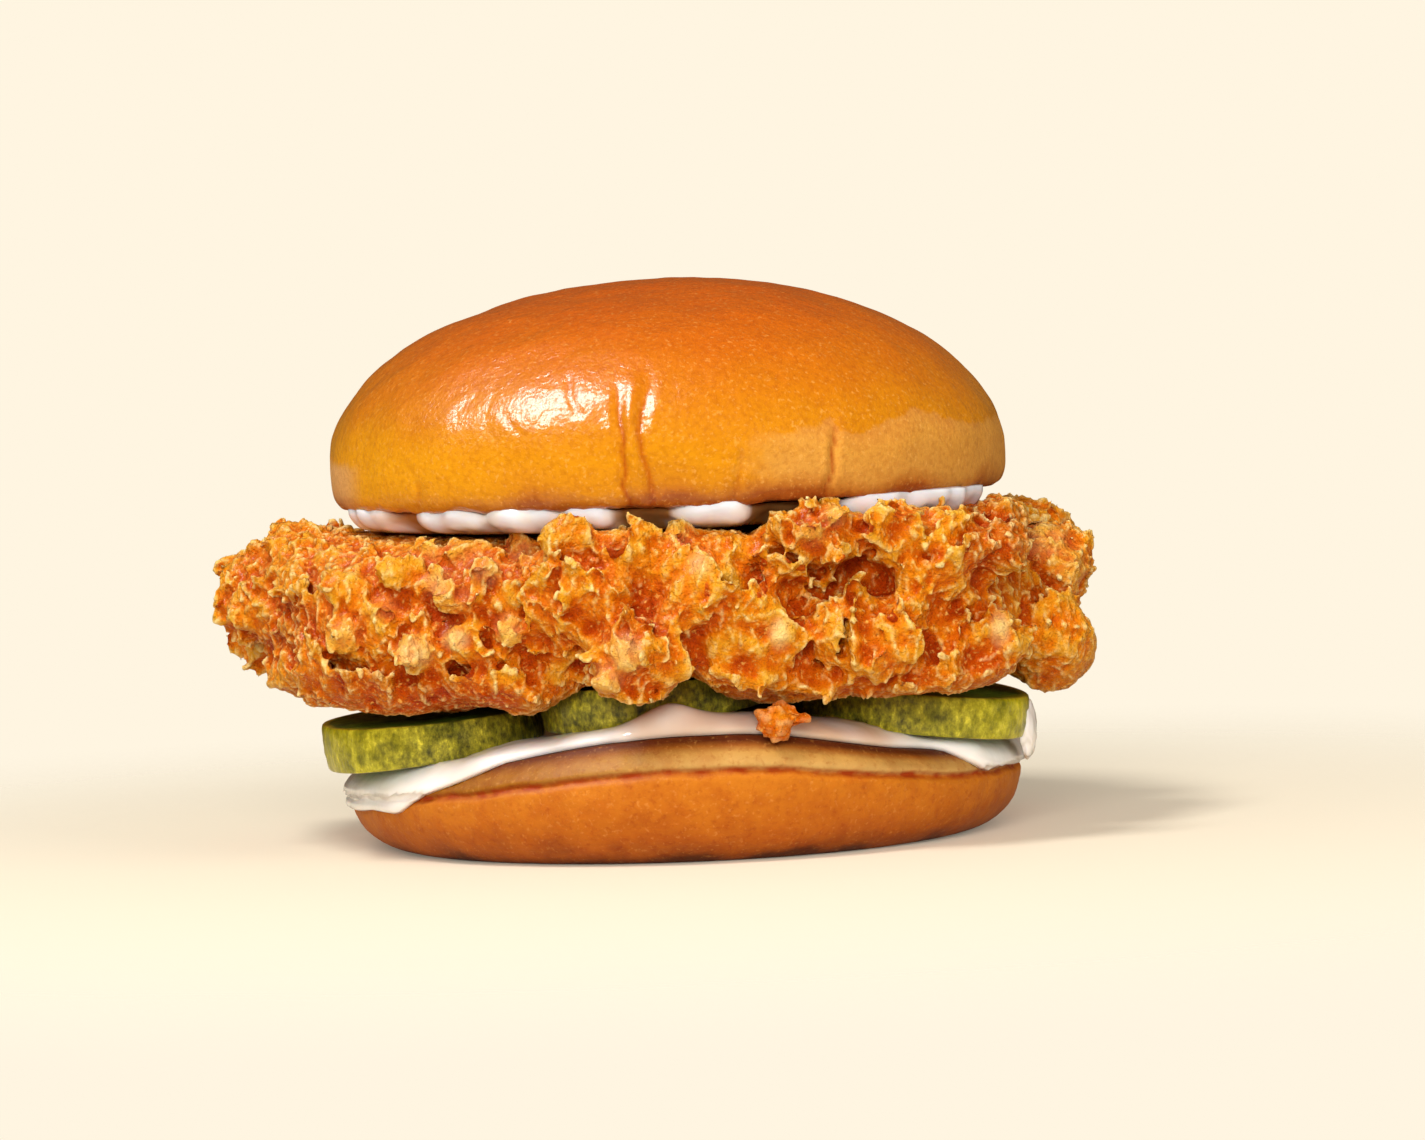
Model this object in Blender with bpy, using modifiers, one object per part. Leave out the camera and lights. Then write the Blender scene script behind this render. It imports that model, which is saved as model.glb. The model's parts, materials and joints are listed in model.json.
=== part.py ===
"""A fried chicken burger: a brioche crown and heel, mayonnaise above and below, thick pickle
slices and a craggy battered fillet that is wider than the bun.

The shapes are built round the bun's upright axis, with the front towards -Y, and are moved at the
end so that the origin is the middle of the object's footprint, on the surface it stands on."""

import math
import random

import bmesh
import bpy
from mathutils import Matrix, Vector, noise
from mathutils.bvhtree import BVHTree

# Driving dimensions, in metres.
GAP = 0.0003
HEEL_TO_MAYO = 0.00065

CROWN_RADIUS = 0.0542
CROWN_TUCK = 0.0040
CROWN_BOTTOM = 0.0546
CROWN_WIDEST = 0.0623
CROWN_TOP = 0.0892
CROWN_SHIFT_X = -0.0011
CROWN_SLIM = 0.0015

HEEL_FOOT_RADIUS = 0.0448
HEEL_RADIUS = 0.0538
HEEL_RIM_RADIUS = 0.0503
HEEL_HEIGHT = 0.0195
HEEL_CREASE_SHARE = 0.74
HEEL_SAG = 0.0012

UPPER_MAYO_RADIUS = 0.0500
UPPER_MAYO_BOTTOM = 0.0506
LOWER_MAYO_THICKNESS = 0.0026
LOWER_MAYO_UNDER_PICKLE = 0.0007

PICKLE_THICKNESS = 0.0063
PICKLE_TILT_X = math.radians(2.0)

FILLET_CENTRE = Vector((-0.0035, -0.0015, 0.0380))
FILLET_HALF_LENGTH = 0.0625
FILLET_HALF_WIDTH = 0.0455
FILLET_HALF_THICKNESS = 0.0128
FILLET_SLOPE = -0.018
FILLET_CLEARANCE = 0.0007

CROWN_TRIANGLES = 2200
HEEL_TRIANGLES = 1800
FILLET_TRIANGLES = 6500
LOWER_MAYO_TRIANGLES = 1200
UPPER_MAYO_TRIANGLES = 800

# The heel is pressed down where a pickle hangs over its rim: direction, start, end, depth.
HEEL_DIPS = (
    (math.radians(172), -0.008, 0.056, 0.0082),
    (math.radians(-12), 0.016, 0.056, 0.0064),
)

# Soft creases in the crown's front: place along the front, top end, depth, half width.
CROWN_CREASES = (
    (-0.0048, 0.0745, 0.0016, 0.0021),
    (-0.0006, 0.0700, 0.0008, 0.0015),
    (0.0114, 0.0665, 0.0008, 0.0014),
    (0.0254, 0.0690, 0.0013, 0.0013),
)

# Pickle slices: name, centre, radius, tilt towards +X, how much thinner the +X side is.
PICKLES = (
    ("pickle_left", (-0.0393, -0.0170), 0.0174, math.radians(-6.7), 0.16),
    ("pickle_middle", (-0.0045, -0.0248), 0.0174, math.radians(-5.5), 0.06),
    ("pickle_right", (0.0352, -0.0160), 0.0184, math.radians(8.0), -0.03),
    ("pickle_back", (0.0030, 0.0240), 0.0180, math.radians(1.5), 0.05),
)

# The fillet's lobes on the front and at both ends, from left to right: name, centre, half sizes.
FILLET_LOBES = (
    ("left_tip", (-0.0655, -0.0050, 0.0415), (0.0080, 0.0105, 0.0078)),
    ("top_left", (-0.0605, -0.0080, 0.0475), (0.0060, 0.0075, 0.0052)),
    ("left_under", (-0.0560, -0.0140, 0.0295), (0.0090, 0.0110, 0.0050)),
    ("left_face", (-0.0500, -0.0270, 0.0390), (0.0095, 0.0080, 0.0090)),
    ("left_ledge", (-0.0440, -0.0340, 0.0355), (0.0115, 0.0080, 0.0068)),
    ("left_skirt", (-0.0400, -0.0310, 0.0270), (0.0180, 0.0095, 0.0038)),
    ("upper_left", (-0.0400, -0.0355, 0.0428), (0.0120, 0.0080, 0.0056)),
    ("golden_nugget", (-0.0385, -0.0418, 0.0343), (0.0042, 0.0050, 0.0046)),
    ("inner_left", (-0.0265, -0.0413, 0.0403), (0.0095, 0.0068, 0.0080)),
    ("inner_skirt", (-0.0250, -0.0380, 0.0275), (0.0095, 0.0080, 0.0043)),
    ("tall_lobe", (-0.0120, -0.0473, 0.0430), (0.0100, 0.0075, 0.0098)),
    ("knob", (-0.0154, -0.0488, 0.0495), (0.0027, 0.0032, 0.0040)),
    ("finger", (-0.0043, -0.0513, 0.0495), (0.0023, 0.0030, 0.0048)),
    ("low_nugget", (-0.0068, -0.0523, 0.0318), (0.0072, 0.0056, 0.0074)),
    ("slanted_sheet", (0.0050, -0.0488, 0.0440), (0.0074, 0.0050, 0.0072)),
    ("broad_sheet", (0.0095, -0.0483, 0.0335), (0.0092, 0.0058, 0.0078)),
    ("middle_skirt", (0.0160, -0.0418, 0.0272), (0.0130, 0.0075, 0.0038)),
    ("top_fold", (0.0206, -0.0468, 0.0492), (0.0092, 0.0062, 0.0052)),
    ("fold_one", (0.0268, -0.0478, 0.0335), (0.0034, 0.0050, 0.0072)),
    ("fold_two", (0.0335, -0.0458, 0.0330), (0.0034, 0.0050, 0.0072)),
    ("side_finger", (0.0312, -0.0458, 0.0503), (0.0046, 0.0028, 0.0022)),
    ("right_skirt", (0.0350, -0.0398, 0.0272), (0.0130, 0.0075, 0.0038)),
    ("fan", (0.0390, -0.0393, 0.0448), (0.0098, 0.0080, 0.0076)),
    ("right_lower", (0.0440, -0.0360, 0.0305), (0.0095, 0.0085, 0.0065)),
    ("brown_lump", (0.0490, -0.0210, 0.0475), (0.0060, 0.0085, 0.0050)),
    ("right_bulge", (0.0578, -0.0160, 0.0296), (0.0080, 0.0095, 0.0082)),
    ("right_crag", (0.0575, -0.0050, 0.0410), (0.0088, 0.0125, 0.0068)),
)
SMOOTH_LOBES = ("right_bulge", "broad_sheet")
REAR_LOBES = 22
FLAKE_SPACING_LEFT = 0.0050
FLAKE_SPACING = 0.0066

CRUMB_CENTRE = Vector((0.0148, -0.0508, 0.0216))
CRUMB_SIZE = Vector((0.0041, 0.0018, 0.0026))


def smooth_step(low, high, value):
    share = min(1.0, max(0.0, (value - low) / (high - low)))
    return share * share * (3 - 2 * share)


def wobble(point, size, seed=0.0):
    """Smooth noise from -1 to 1 whose lumps are about this size."""
    return noise.noise(Vector(point) / size + Vector((seed, seed * 1.7, -seed)))


def around(azimuth, radius, height):
    return Vector((radius * math.cos(azimuth), radius * math.sin(azimuth), height))


def clear_scene():
    for found in list(bpy.data.objects):
        bpy.data.objects.remove(found)
    for found in list(bpy.data.collections):
        bpy.data.collections.remove(found)


def make_material(name, colour, roughness):
    material = bpy.data.materials.new(name)
    material.use_nodes = True
    shader = material.node_tree.nodes["Principled BSDF"]
    shader.inputs["Base Color"].default_value = (*colour, 1.0)
    shader.inputs["Roughness"].default_value = roughness
    shader.inputs["Metallic"].default_value = 0.0
    material.diffuse_color = (*colour, 1.0)
    return material


def add_sphere(shape, segments, rings, skin):
    """Adds a sphere whose every point is moved to skin(azimuth, fall), fall running from 0 at the
    top pole to 1 at the bottom pole."""
    sphere = bmesh.new()
    bmesh.ops.create_uvsphere(sphere, u_segments=segments, v_segments=rings, radius=1.0)
    for vertex in sphere.verts:
        azimuth = math.atan2(vertex.co.y, vertex.co.x)
        fall = math.acos(min(1.0, max(-1.0, vertex.co.z))) / math.pi
        vertex.co = skin(azimuth, fall)
    mesh = bpy.data.meshes.new("sphere")
    sphere.to_mesh(mesh)
    sphere.free()
    shape.from_mesh(mesh)
    bpy.data.meshes.remove(mesh)


def solid(name, shape, collection):
    mesh = bpy.data.meshes.new(name)
    shape.to_mesh(mesh)
    shape.free()
    made = bpy.data.objects.new(name, mesh)
    collection.objects.link(made)
    return made


def solid_of_skin(name, segments, rings, skin, collection):
    shape = bmesh.new()
    add_sphere(shape, segments, rings, skin)
    return solid(name, shape, collection)


def apply_modifiers(found):
    graph = bpy.context.evaluated_depsgraph_get()
    mesh = bpy.data.meshes.new_from_object(found.evaluated_get(graph))
    found.modifiers.clear()
    found.data = mesh
    mesh.name = found.name


def fuse(found, voxel):
    """One closed skin round everything that overlaps."""
    remesh = found.modifiers.new("fuse", "REMESH")
    remesh.mode = "VOXEL"
    remesh.voxel_size = voxel
    remesh.adaptivity = 0.0
    apply_modifiers(found)


def reduce_to(found, triangles):
    """Fewer triangles, kept where the shape turns."""
    bpy.context.view_layer.update()
    found.data.calc_loop_triangles()
    now = len(found.data.loop_triangles)
    if now <= triangles:
        return
    fewer = found.modifiers.new("fewer", "DECIMATE")
    fewer.ratio = triangles / now
    fewer.use_collapse_triangulate = True
    apply_modifiers(found)


def finish(found, material):
    found.data.materials.clear()
    found.data.materials.append(material)
    found.data.shade_smooth()
    found.data.set_sharp_from_angle(angle=math.radians(50))


# The crown

DOME_SHARE = 0.58
WALL_SHARE = 0.80


def crown_crease(azimuth, height):
    """How far the skin is drawn in by the creases of the front."""
    depth = 0.0
    if math.sin(azimuth) > 0:
        return depth
    along = CROWN_RADIUS * math.cos(azimuth)
    for place, top, deep, half_width in CROWN_CREASES:
        sway = 0.0008 * math.sin(height / 0.004 + place / 0.003)
        off = (along - place - sway) / half_width
        fade = 1 - smooth_step(CROWN_WIDEST, top, height)
        depth += deep * fade * math.exp(-off * off)
    return depth


def crown_skin(azimuth, fall):
    if fall <= DOME_SHARE:
        angle = fall / DOME_SHARE * math.pi / 2
        shoulder = 1.54 * math.sin(angle) ** 2 * math.sin(2 * angle)
        radius = CROWN_RADIUS * math.sin(angle)
        radius -= CROWN_SLIM * max(0.0, math.cos(azimuth)) * shoulder
        height = CROWN_WIDEST + (CROWN_TOP - CROWN_WIDEST) * math.cos(angle)
    elif fall <= WALL_SHARE:
        angle = (fall - DOME_SHARE) / (WALL_SHARE - DOME_SHARE) * math.pi / 2
        radius = CROWN_RADIUS - CROWN_TUCK * (1 - math.cos(angle) ** 0.5)
        height = CROWN_WIDEST - (CROWN_WIDEST - CROWN_BOTTOM) * math.sin(angle) ** 0.5
    else:
        inward = (fall - WALL_SHARE) / (1 - WALL_SHARE)
        radius = (CROWN_RADIUS - CROWN_TUCK) * (1 - inward)
        return around(azimuth, radius, CROWN_BOTTOM) + Vector((CROWN_SHIFT_X, 0, 0))
    point = around(azimuth, radius, height)
    raised = smooth_step(CROWN_BOTTOM, CROWN_WIDEST, height)
    out = Vector((point.x, point.y, (height - CROWN_BOTTOM) * 1.6)).normalized()
    uneven = 0.0007 * wobble(point, 0.030, 2.0) + 0.0003 * wobble(point, 0.011, 5.0)
    point += out * uneven * raised
    sink = crown_crease(azimuth, height) * (0.45 + 0.55 * raised)
    point -= around(azimuth, sink, 0)
    return point + Vector((CROWN_SHIFT_X, 0, 0))


def make_crown(collection, material):
    crown = solid_of_skin("top_bun", 144, 72, crown_skin, collection)
    reduce_to(crown, CROWN_TRIANGLES)
    finish(crown, material)
    return crown


# The heel

CUT_SHARE = 0.22
BOWL_SHARE = 0.80
BAND_SHARE = 0.34
CREASE_DEPTH = 0.0007
CREASE_HALF_WIDTH = 0.0008


def cut_height(x, y):
    """Height of the heel's cut face, which gives way under the filling and the outer pickles."""
    height = HEEL_HEIGHT - HEEL_SAG * (1 - smooth_step(0.030, 0.048, math.hypot(x, y)))
    for direction, start, end, depth in HEEL_DIPS:
        reach = x * math.cos(direction) + y * math.sin(direction)
        height -= depth * smooth_step(start, end, reach)
    return height


def rim_height(azimuth):
    return cut_height(HEEL_RIM_RADIUS * math.cos(azimuth), HEEL_RIM_RADIUS * math.sin(azimuth))


def heel_band(azimuth):
    """Length of the bare band between the heel's rim and its crease, measured down the side."""
    rim = rim_height(azimuth)
    return math.hypot(HEEL_RADIUS - HEEL_RIM_RADIUS, rim * (1 - HEEL_CREASE_SHARE))


def heel_side(azimuth, down):
    """A point on the heel's side: down runs from 0 at the rim to BAND_SHARE at the crease and 1
    where the heel meets the ground."""
    rim = rim_height(azimuth)
    crease = rim * HEEL_CREASE_SHARE
    if down <= BAND_SHARE:
        share = down / BAND_SHARE
        radius = HEEL_RIM_RADIUS + (HEEL_RADIUS - HEEL_RIM_RADIUS) * math.sin(share * math.pi / 2)
        height = rim + (crease - rim) * share
    else:
        angle = (down - BAND_SHARE) / (1 - BAND_SHARE) * math.pi / 2
        radius = HEEL_FOOT_RADIUS + (HEEL_RADIUS - HEEL_FOOT_RADIUS) * math.cos(angle)
        height = crease * (1 - math.sin(angle))
    from_crease = (height - crease) / CREASE_HALF_WIDTH
    radius -= CREASE_DEPTH * math.exp(-from_crease * from_crease)
    uneven = 0.0006 * wobble(around(azimuth, HEEL_RADIUS, height), 0.022, 7.0)
    away = smooth_step(0.0, 0.004, height) * smooth_step(0.0, 0.15, down)
    return around(azimuth, radius + uneven * away, height)


def heel_point(azimuth, distance):
    """A point on the heel, from its distance to the axis measured out over the cut face and then
    down the side."""
    if distance <= HEEL_RIM_RADIUS:
        x, y = distance * math.cos(azimuth), distance * math.sin(azimuth)
        return Vector((x, y, cut_height(x, y)))
    return heel_side(azimuth, (distance - HEEL_RIM_RADIUS) / heel_band(azimuth) * BAND_SHARE)


def heel_skin(azimuth, fall):
    if fall <= CUT_SHARE:
        return heel_point(azimuth, fall / CUT_SHARE * HEEL_RIM_RADIUS)
    if fall >= BOWL_SHARE:
        inward = (fall - BOWL_SHARE) / (1 - BOWL_SHARE)
        return around(azimuth, HEEL_FOOT_RADIUS * (1 - inward), 0.0)
    return heel_side(azimuth, (fall - CUT_SHARE) / (BOWL_SHARE - CUT_SHARE))


def make_heel(collection, material):
    heel = solid_of_skin("bottom_bun", 128, 76, heel_skin, collection)
    reduce_to(heel, HEEL_TRIANGLES)
    finish(heel, material)
    return heel


# The pickles

PICKLE_FACE_SHARE = 0.35
PICKLE_FACE_EDGE = 0.96


def pickle_matrix(centre, radius, tilt):
    """Places a slice so that its underside clears the pressed mayonnaise below it."""
    turn = Matrix.Rotation(tilt, 4, "Y") @ Matrix.Rotation(PICKLE_TILT_X, 4, "X")
    level = Matrix.Translation((*centre, 0)) @ turn
    lift = 0.0
    for step in range(48):
        for share in (0.35, 0.7, 1.0):
            low = level @ around(step * math.tau / 48, radius * share, 0)
            if math.hypot(low.x, low.y) < HEEL_RIM_RADIUS + 0.001:
                mayo_top = cut_height(low.x, low.y) + HEEL_TO_MAYO + LOWER_MAYO_UNDER_PICKLE
                lift = max(lift, mayo_top + GAP - low.z)
    return Matrix.Translation((0, 0, lift)) @ level


def make_pickle(place, name, centre, radius, tilt, taper, collection, material):
    """A thick slice, a little out of round, with cut faces above and below."""

    def skin(azimuth, fall):
        uneven = 0.025 * math.sin(2 * azimuth + place) + 0.012 * math.sin(5 * azimuth + 2 * place)
        edge = radius * (1 + uneven)
        if fall > 1 - PICKLE_FACE_SHARE:
            return around(azimuth, edge * PICKLE_FACE_EDGE * (1 - fall) / PICKLE_FACE_SHARE, 0.0)
        if fall < PICKLE_FACE_SHARE:
            out = PICKLE_FACE_EDGE * fall / PICKLE_FACE_SHARE
            return around(azimuth, edge * out, thickness_at(azimuth, out))
        angle = (fall - 0.5) / (0.5 - PICKLE_FACE_SHARE) * math.pi / 2
        out = PICKLE_FACE_EDGE + (1 - PICKLE_FACE_EDGE) * math.cos(angle) ** 0.4
        return around(azimuth, edge * out, thickness_at(azimuth, out) * (0.5 - 0.5 * math.sin(angle)))

    def thickness_at(azimuth, out):
        return PICKLE_THICKNESS * (1 - taper * math.cos(azimuth) * out)

    pickle = solid_of_skin(name, 24, 10, skin, collection)
    pickle.data.transform(pickle_matrix(centre, radius, tilt))
    finish(pickle, material)
    return pickle


def pickle_undersides(x, y, margin):
    """Height of the underside of each slice that is within a margin of this point, seen from
    above."""
    heights = []
    for _, centre, radius, tilt, _ in PICKLES:
        if math.hypot(x - centre[0], y - centre[1]) > radius * 1.03 + margin:
            continue
        matrix = pickle_matrix(centre, radius, tilt)
        normal = matrix.to_3x3() @ Vector((0, 0, 1))
        low = matrix.translation
        heights.append(low.z - (normal.x * (x - low.x) + normal.y * (y - low.y)) / normal.z)
    return heights


# The mayonnaise

SKIN_STEP = 0.0004
MOUND = (-0.0024, -0.0462, 0.0056, 0.0034, 0.0040)


def overflow(azimuth):
    """How far the lower mayonnaise runs past the heel's rim, down its side."""
    degrees = math.degrees(azimuth) % 360
    left = smooth_step(156, 184, degrees) * (1 - smooth_step(212, 243, degrees))
    turned = (degrees + 90) % 360
    right = smooth_step(48, 62, turned) * (1 - smooth_step(92, 118, turned))
    drawn_back = 0.0020 * smooth_step(236, 246, degrees) * (1 - smooth_step(254, 260, degrees))
    inside = -0.0011 + 0.0008 * wobble(around(azimuth, 1.0, 0.0), 0.22, 3.0) - drawn_back
    return inside + 0.0068 * left + 0.0058 * right


def off_heel(azimuth, distance, lift):
    """A point this far off the heel's skin, square to it."""
    near, far = (heel_point(azimuth, distance + step) for step in (-SKIN_STEP, SKIN_STEP))
    run = far - near
    rise = Vector((-run.z * math.cos(azimuth), -run.z * math.sin(azimuth), math.hypot(run.x, run.y)))
    return heel_point(azimuth, distance) + rise.normalized() * lift


def lower_mayo_skin(azimuth, fall):
    share = math.sin(fall * math.pi) ** 0.8
    distance = share * (HEEL_RIM_RADIUS + overflow(azimuth))
    under = off_heel(azimuth, distance, HEEL_TO_MAYO)
    if fall >= 0.5:
        return under
    edge = max(0.0, 1 - share**7) ** 0.5
    thickness = LOWER_MAYO_THICKNESS * (1 + 0.35 * wobble(under, 0.012, 9.0))
    mound_x, mound_y, mound_width, mound_depth, mound_height = MOUND
    across = (under.x - mound_x) / mound_width
    along = (under.y - mound_y) / mound_depth
    thickness += mound_height * math.exp(-across * across - along * along)
    point = off_heel(azimuth, distance, HEEL_TO_MAYO + thickness * edge)
    for low in pickle_undersides(point.x, point.y, 0.0016):
        point.z = min(point.z, max(under.z + GAP, low - GAP * 1.6))
    return point


def make_lower_mayo(collection, material):
    mayo = solid_of_skin("lower_mayo", 112, 72, lower_mayo_skin, collection)
    reduce_to(mayo, LOWER_MAYO_TRIANGLES)
    finish(mayo, material)
    return mayo


def upper_mayo_skin(azimuth, fall):
    """A disc against the crown's cut face whose rim bulges out in uneven lobes."""
    share = math.sin(fall * math.pi)
    rim = around(azimuth, 1.0, 0.0)
    radius = UPPER_MAYO_RADIUS + 0.0018 * wobble(rim, 0.30, 4.0) + 0.0012 * wobble(rim, 0.11, 8.0)
    point = around(azimuth, radius * share, CROWN_BOTTOM - GAP)
    thin = 0.4 * (0.5 + 0.5 * wobble(point, 0.013, 6.0)) * smooth_step(0.80, 0.97, share)
    depth = (point.z - UPPER_MAYO_BOTTOM) * (1 - thin)
    rounding = 1 - max(0.0, 1 - share**9) ** 0.5
    if fall < 0.5:
        point.z -= 0.25 * depth * rounding
    else:
        point.z -= depth * (1 - 0.75 * rounding)
    point.x += CROWN_SHIFT_X
    return point


def make_upper_mayo(collection, material):
    mayo = solid_of_skin("upper_mayo", 112, 48, upper_mayo_skin, collection)
    reduce_to(mayo, UPPER_MAYO_TRIANGLES)
    finish(mayo, material)
    return mayo


# The fillet

FLAKE_HALF_THICKNESS = 0.0010
LOBE_VOXEL = 0.0015
FLAKE_VOXEL = 0.0011
NEAR = 0.0016


def fillet_outline(azimuth):
    """Half size of the fillet in this direction, seen from above."""
    across = abs(math.cos(azimuth) / FILLET_HALF_LENGTH) ** 2.5
    along = abs(math.sin(azimuth) / FILLET_HALF_WIDTH) ** 2.5
    return (across + along) ** (-1 / 2.5)


def fillet_height(x):
    return FILLET_CENTRE.z + FILLET_SLOPE * (x - FILLET_CENTRE.x)


def core_skin(azimuth, fall):
    angle = (0.5 - fall) * math.pi
    radius = fillet_outline(azimuth) * math.cos(angle) ** 0.42
    height = FILLET_HALF_THICKNESS * math.copysign(abs(math.sin(angle)) ** 0.6, angle)
    point = around(azimuth, radius, 0) + Vector((FILLET_CENTRE.x, FILLET_CENTRE.y, 0))
    point.z = fillet_height(point.x) + height
    return point


def add_lump(shape, centre, sizes, seed):
    def skin(azimuth, fall):
        angle = fall * math.pi
        unit = around(azimuth, math.sin(angle), math.cos(angle))
        rough = 1 + 0.24 * wobble(unit, 0.55, seed)
        return Vector(centre) + Vector(unit[k] * sizes[k] * rough for k in range(3))

    add_sphere(shape, 20, 12, skin)


def add_flake(shape, frame, width, height, curl, seed):
    """A thin lens of batter with a ragged, ruffled rim, standing along the frame's Z axis."""

    def skin(azimuth, fall):
        angle = fall * math.pi
        unit = around(azimuth, math.sin(angle), math.cos(angle))
        ragged = 1 + 0.30 * wobble((unit.x, unit.z, 0), 0.45, seed)
        x, z = unit.x * width * ragged, unit.z * height * ragged
        ruffle = 0.22 * width * math.sin(4.0 * unit.x + seed) * max(0.0, unit.z)
        y = unit.y * FLAKE_HALF_THICKNESS + curl * x * x / width + ruffle
        return frame @ Vector((x, y, z))

    add_sphere(shape, 12, 8, skin)


def add_fillet_lobes(shape):
    """The core, its lobes at the front and the ends, and smaller ones along the back."""
    draw = random.Random(41)
    add_sphere(shape, 64, 32, core_skin)
    for number, (_, centre, sizes) in enumerate(FILLET_LOBES):
        add_lump(shape, centre, sizes, number + 0.5)
    for number in range(REAR_LOBES):
        azimuth = math.radians(4 + 168 * (number + 0.5) / REAR_LOBES)
        high = (-0.5, 0.5, 0.0)[number % 3] + draw.uniform(-0.12, 0.12)
        centre = around(azimuth, fillet_outline(azimuth) * draw.uniform(0.95, 1.0), 0)
        centre += Vector((FILLET_CENTRE.x, FILLET_CENTRE.y, 0))
        centre.z = fillet_height(centre.x) + high * FILLET_HALF_THICKNESS
        size = draw.uniform(0.0060, 0.0095)
        add_lump(shape, centre, (size * 1.15, size, size * 0.8), number + 60.5)


def in_smooth_lobe(point):
    for name, centre, sizes in FILLET_LOBES:
        if name in SMOOTH_LOBES:
            out = Vector((point[k] - centre[k]) / (sizes[k] + 0.0018) for k in range(3))
            if out.length < 1.0:
                return True
    return False


def flake_roots(mesh):
    """Points of the fillet's open sides, spread evenly, with the way its skin faces there."""
    draw = random.Random(7)
    order = list(range(len(mesh.vertices)))
    draw.shuffle(order)
    taken = []
    for number in order:
        point, normal = mesh.vertices[number].co, mesh.vertices[number].normal
        if math.hypot(point.x, point.y) < 0.043 or not -0.55 < normal.z < 0.93:
            continue
        spacing = FLAKE_SPACING_LEFT if point.x < -0.020 else FLAKE_SPACING
        if in_smooth_lobe(point):
            continue
        if all((point - other).length > spacing for other, _ in taken):
            taken.append((point.copy(), normal.copy()))
    return taken


def add_flakes(shape, roots):
    draw = random.Random(19)
    for number, (point, normal) in enumerate(roots):
        size = 0.0029 if point.x < -0.020 else 0.0037
        width = size * draw.uniform(0.75, 1.25)
        height = size * draw.uniform(0.8, 1.3)
        facing = normal.to_track_quat("Z", "Y").to_matrix().to_4x4()
        spin = Matrix.Rotation(draw.uniform(0, math.tau), 4, "Z")
        lean = Matrix.Rotation(draw.uniform(-0.9, 0.9), 4, "X")
        root = Matrix.Translation(point - normal * 0.25 * height)
        frame = root @ facing @ spin @ lean
        add_flake(shape, frame, width, height, draw.uniform(-0.5, 0.5), number * 0.37)


def largest_body(found):
    """Keeps the largest closed shell, which drops loose scraps and sealed hollows."""
    shape = bmesh.new()
    shape.from_mesh(found.data)
    shells, seen = [], set()
    for start in shape.verts:
        if start in seen:
            continue
        shell, edge = {start}, [start]
        while edge:
            near = edge.pop()
            for link in near.link_edges:
                other = link.other_vert(near)
                if other not in shell:
                    shell.add(other)
                    edge.append(other)
        seen |= shell
        shells.append(shell)
    largest = max(shells, key=len)
    scraps = [vertex for vertex in shape.verts if vertex not in largest]
    bmesh.ops.delete(shape, geom=scraps, context="VERTS")
    shape.to_mesh(found.data)
    shape.free()


def nearest_neighbours(parts):
    shape = bmesh.new()
    for part in parts:
        shape.from_mesh(part.data)
    tree = BVHTree.FromBMesh(shape)
    shape.free()
    return tree


def press_between(mesh, under, over):
    """Moves the crust's points off the parts that lie under and over the fillet."""
    reach = (0.0, 0.0), (NEAR, 0.0), (-NEAR, 0.0), (0.0, NEAR), (0.0, -NEAR)
    for vertex in mesh.vertices:
        point = vertex.co
        floor, ceiling = 0.0, 1.0
        for x, y in reach:
            start = Vector((point.x + x, point.y + y, FILLET_CENTRE.z))
            below = under.ray_cast(start, Vector((0, 0, -1)))[0]
            above = over.ray_cast(start, Vector((0, 0, 1)))[0]
            if below:
                floor = max(floor, below.z + FILLET_CLEARANCE)
            if above:
                ceiling = min(ceiling, above.z - FILLET_CLEARANCE)
        vertex.co.z = min(ceiling, max(floor, point.z))


def make_fillet(under, over, collection, material):
    shape = bmesh.new()
    add_fillet_lobes(shape)
    fillet = solid("chicken_fillet", shape, collection)
    fuse(fillet, LOBE_VOXEL)
    roots = flake_roots(fillet.data)
    shape = bmesh.new()
    shape.from_mesh(fillet.data)
    add_flakes(shape, roots)
    shape.to_mesh(fillet.data)
    shape.free()
    fuse(fillet, FLAKE_VOXEL)
    largest_body(fillet)
    facing = [vertex.normal.copy() for vertex in fillet.data.vertices]
    for vertex, normal in zip(fillet.data.vertices, facing):
        crag = noise.ridged_multi_fractal(vertex.co / 0.0085, 0.9, 2.1, 3, 1.0, 2.0) - 1.1
        vertex.co += normal * 0.0006 * crag
    press_between(fillet.data, under, over)
    reduce_to(fillet, FILLET_TRIANGLES)
    press_between(fillet.data, under, over)
    finish(fillet, material)
    return fillet


def make_crumb(collection, material):
    """A scrap of batter that has dropped on the front of the heel's rim."""

    def skin(azimuth, fall):
        angle = fall * math.pi
        unit = around(azimuth, math.sin(angle), math.cos(angle))
        rough = 1 + 0.35 * wobble(unit, 0.5, 12.0)
        return CRUMB_CENTRE + Vector(unit[k] * CRUMB_SIZE[k] * rough for k in range(3))

    crumb = solid_of_skin("batter_crumb", 12, 8, skin, collection)
    finish(crumb, material)
    return crumb


def centre_on_footprint(parts):
    """Moves everything so that the origin is under the middle of the whole."""
    points = [vertex.co for part in parts for vertex in part.data.vertices]
    middle_x = (min(p.x for p in points) + max(p.x for p in points)) / 2
    middle_y = (min(p.y for p in points) + max(p.y for p in points)) / 2
    shift = Matrix.Translation((-middle_x, -middle_y, 0))
    for part in parts:
        part.data.transform(shift)


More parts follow.
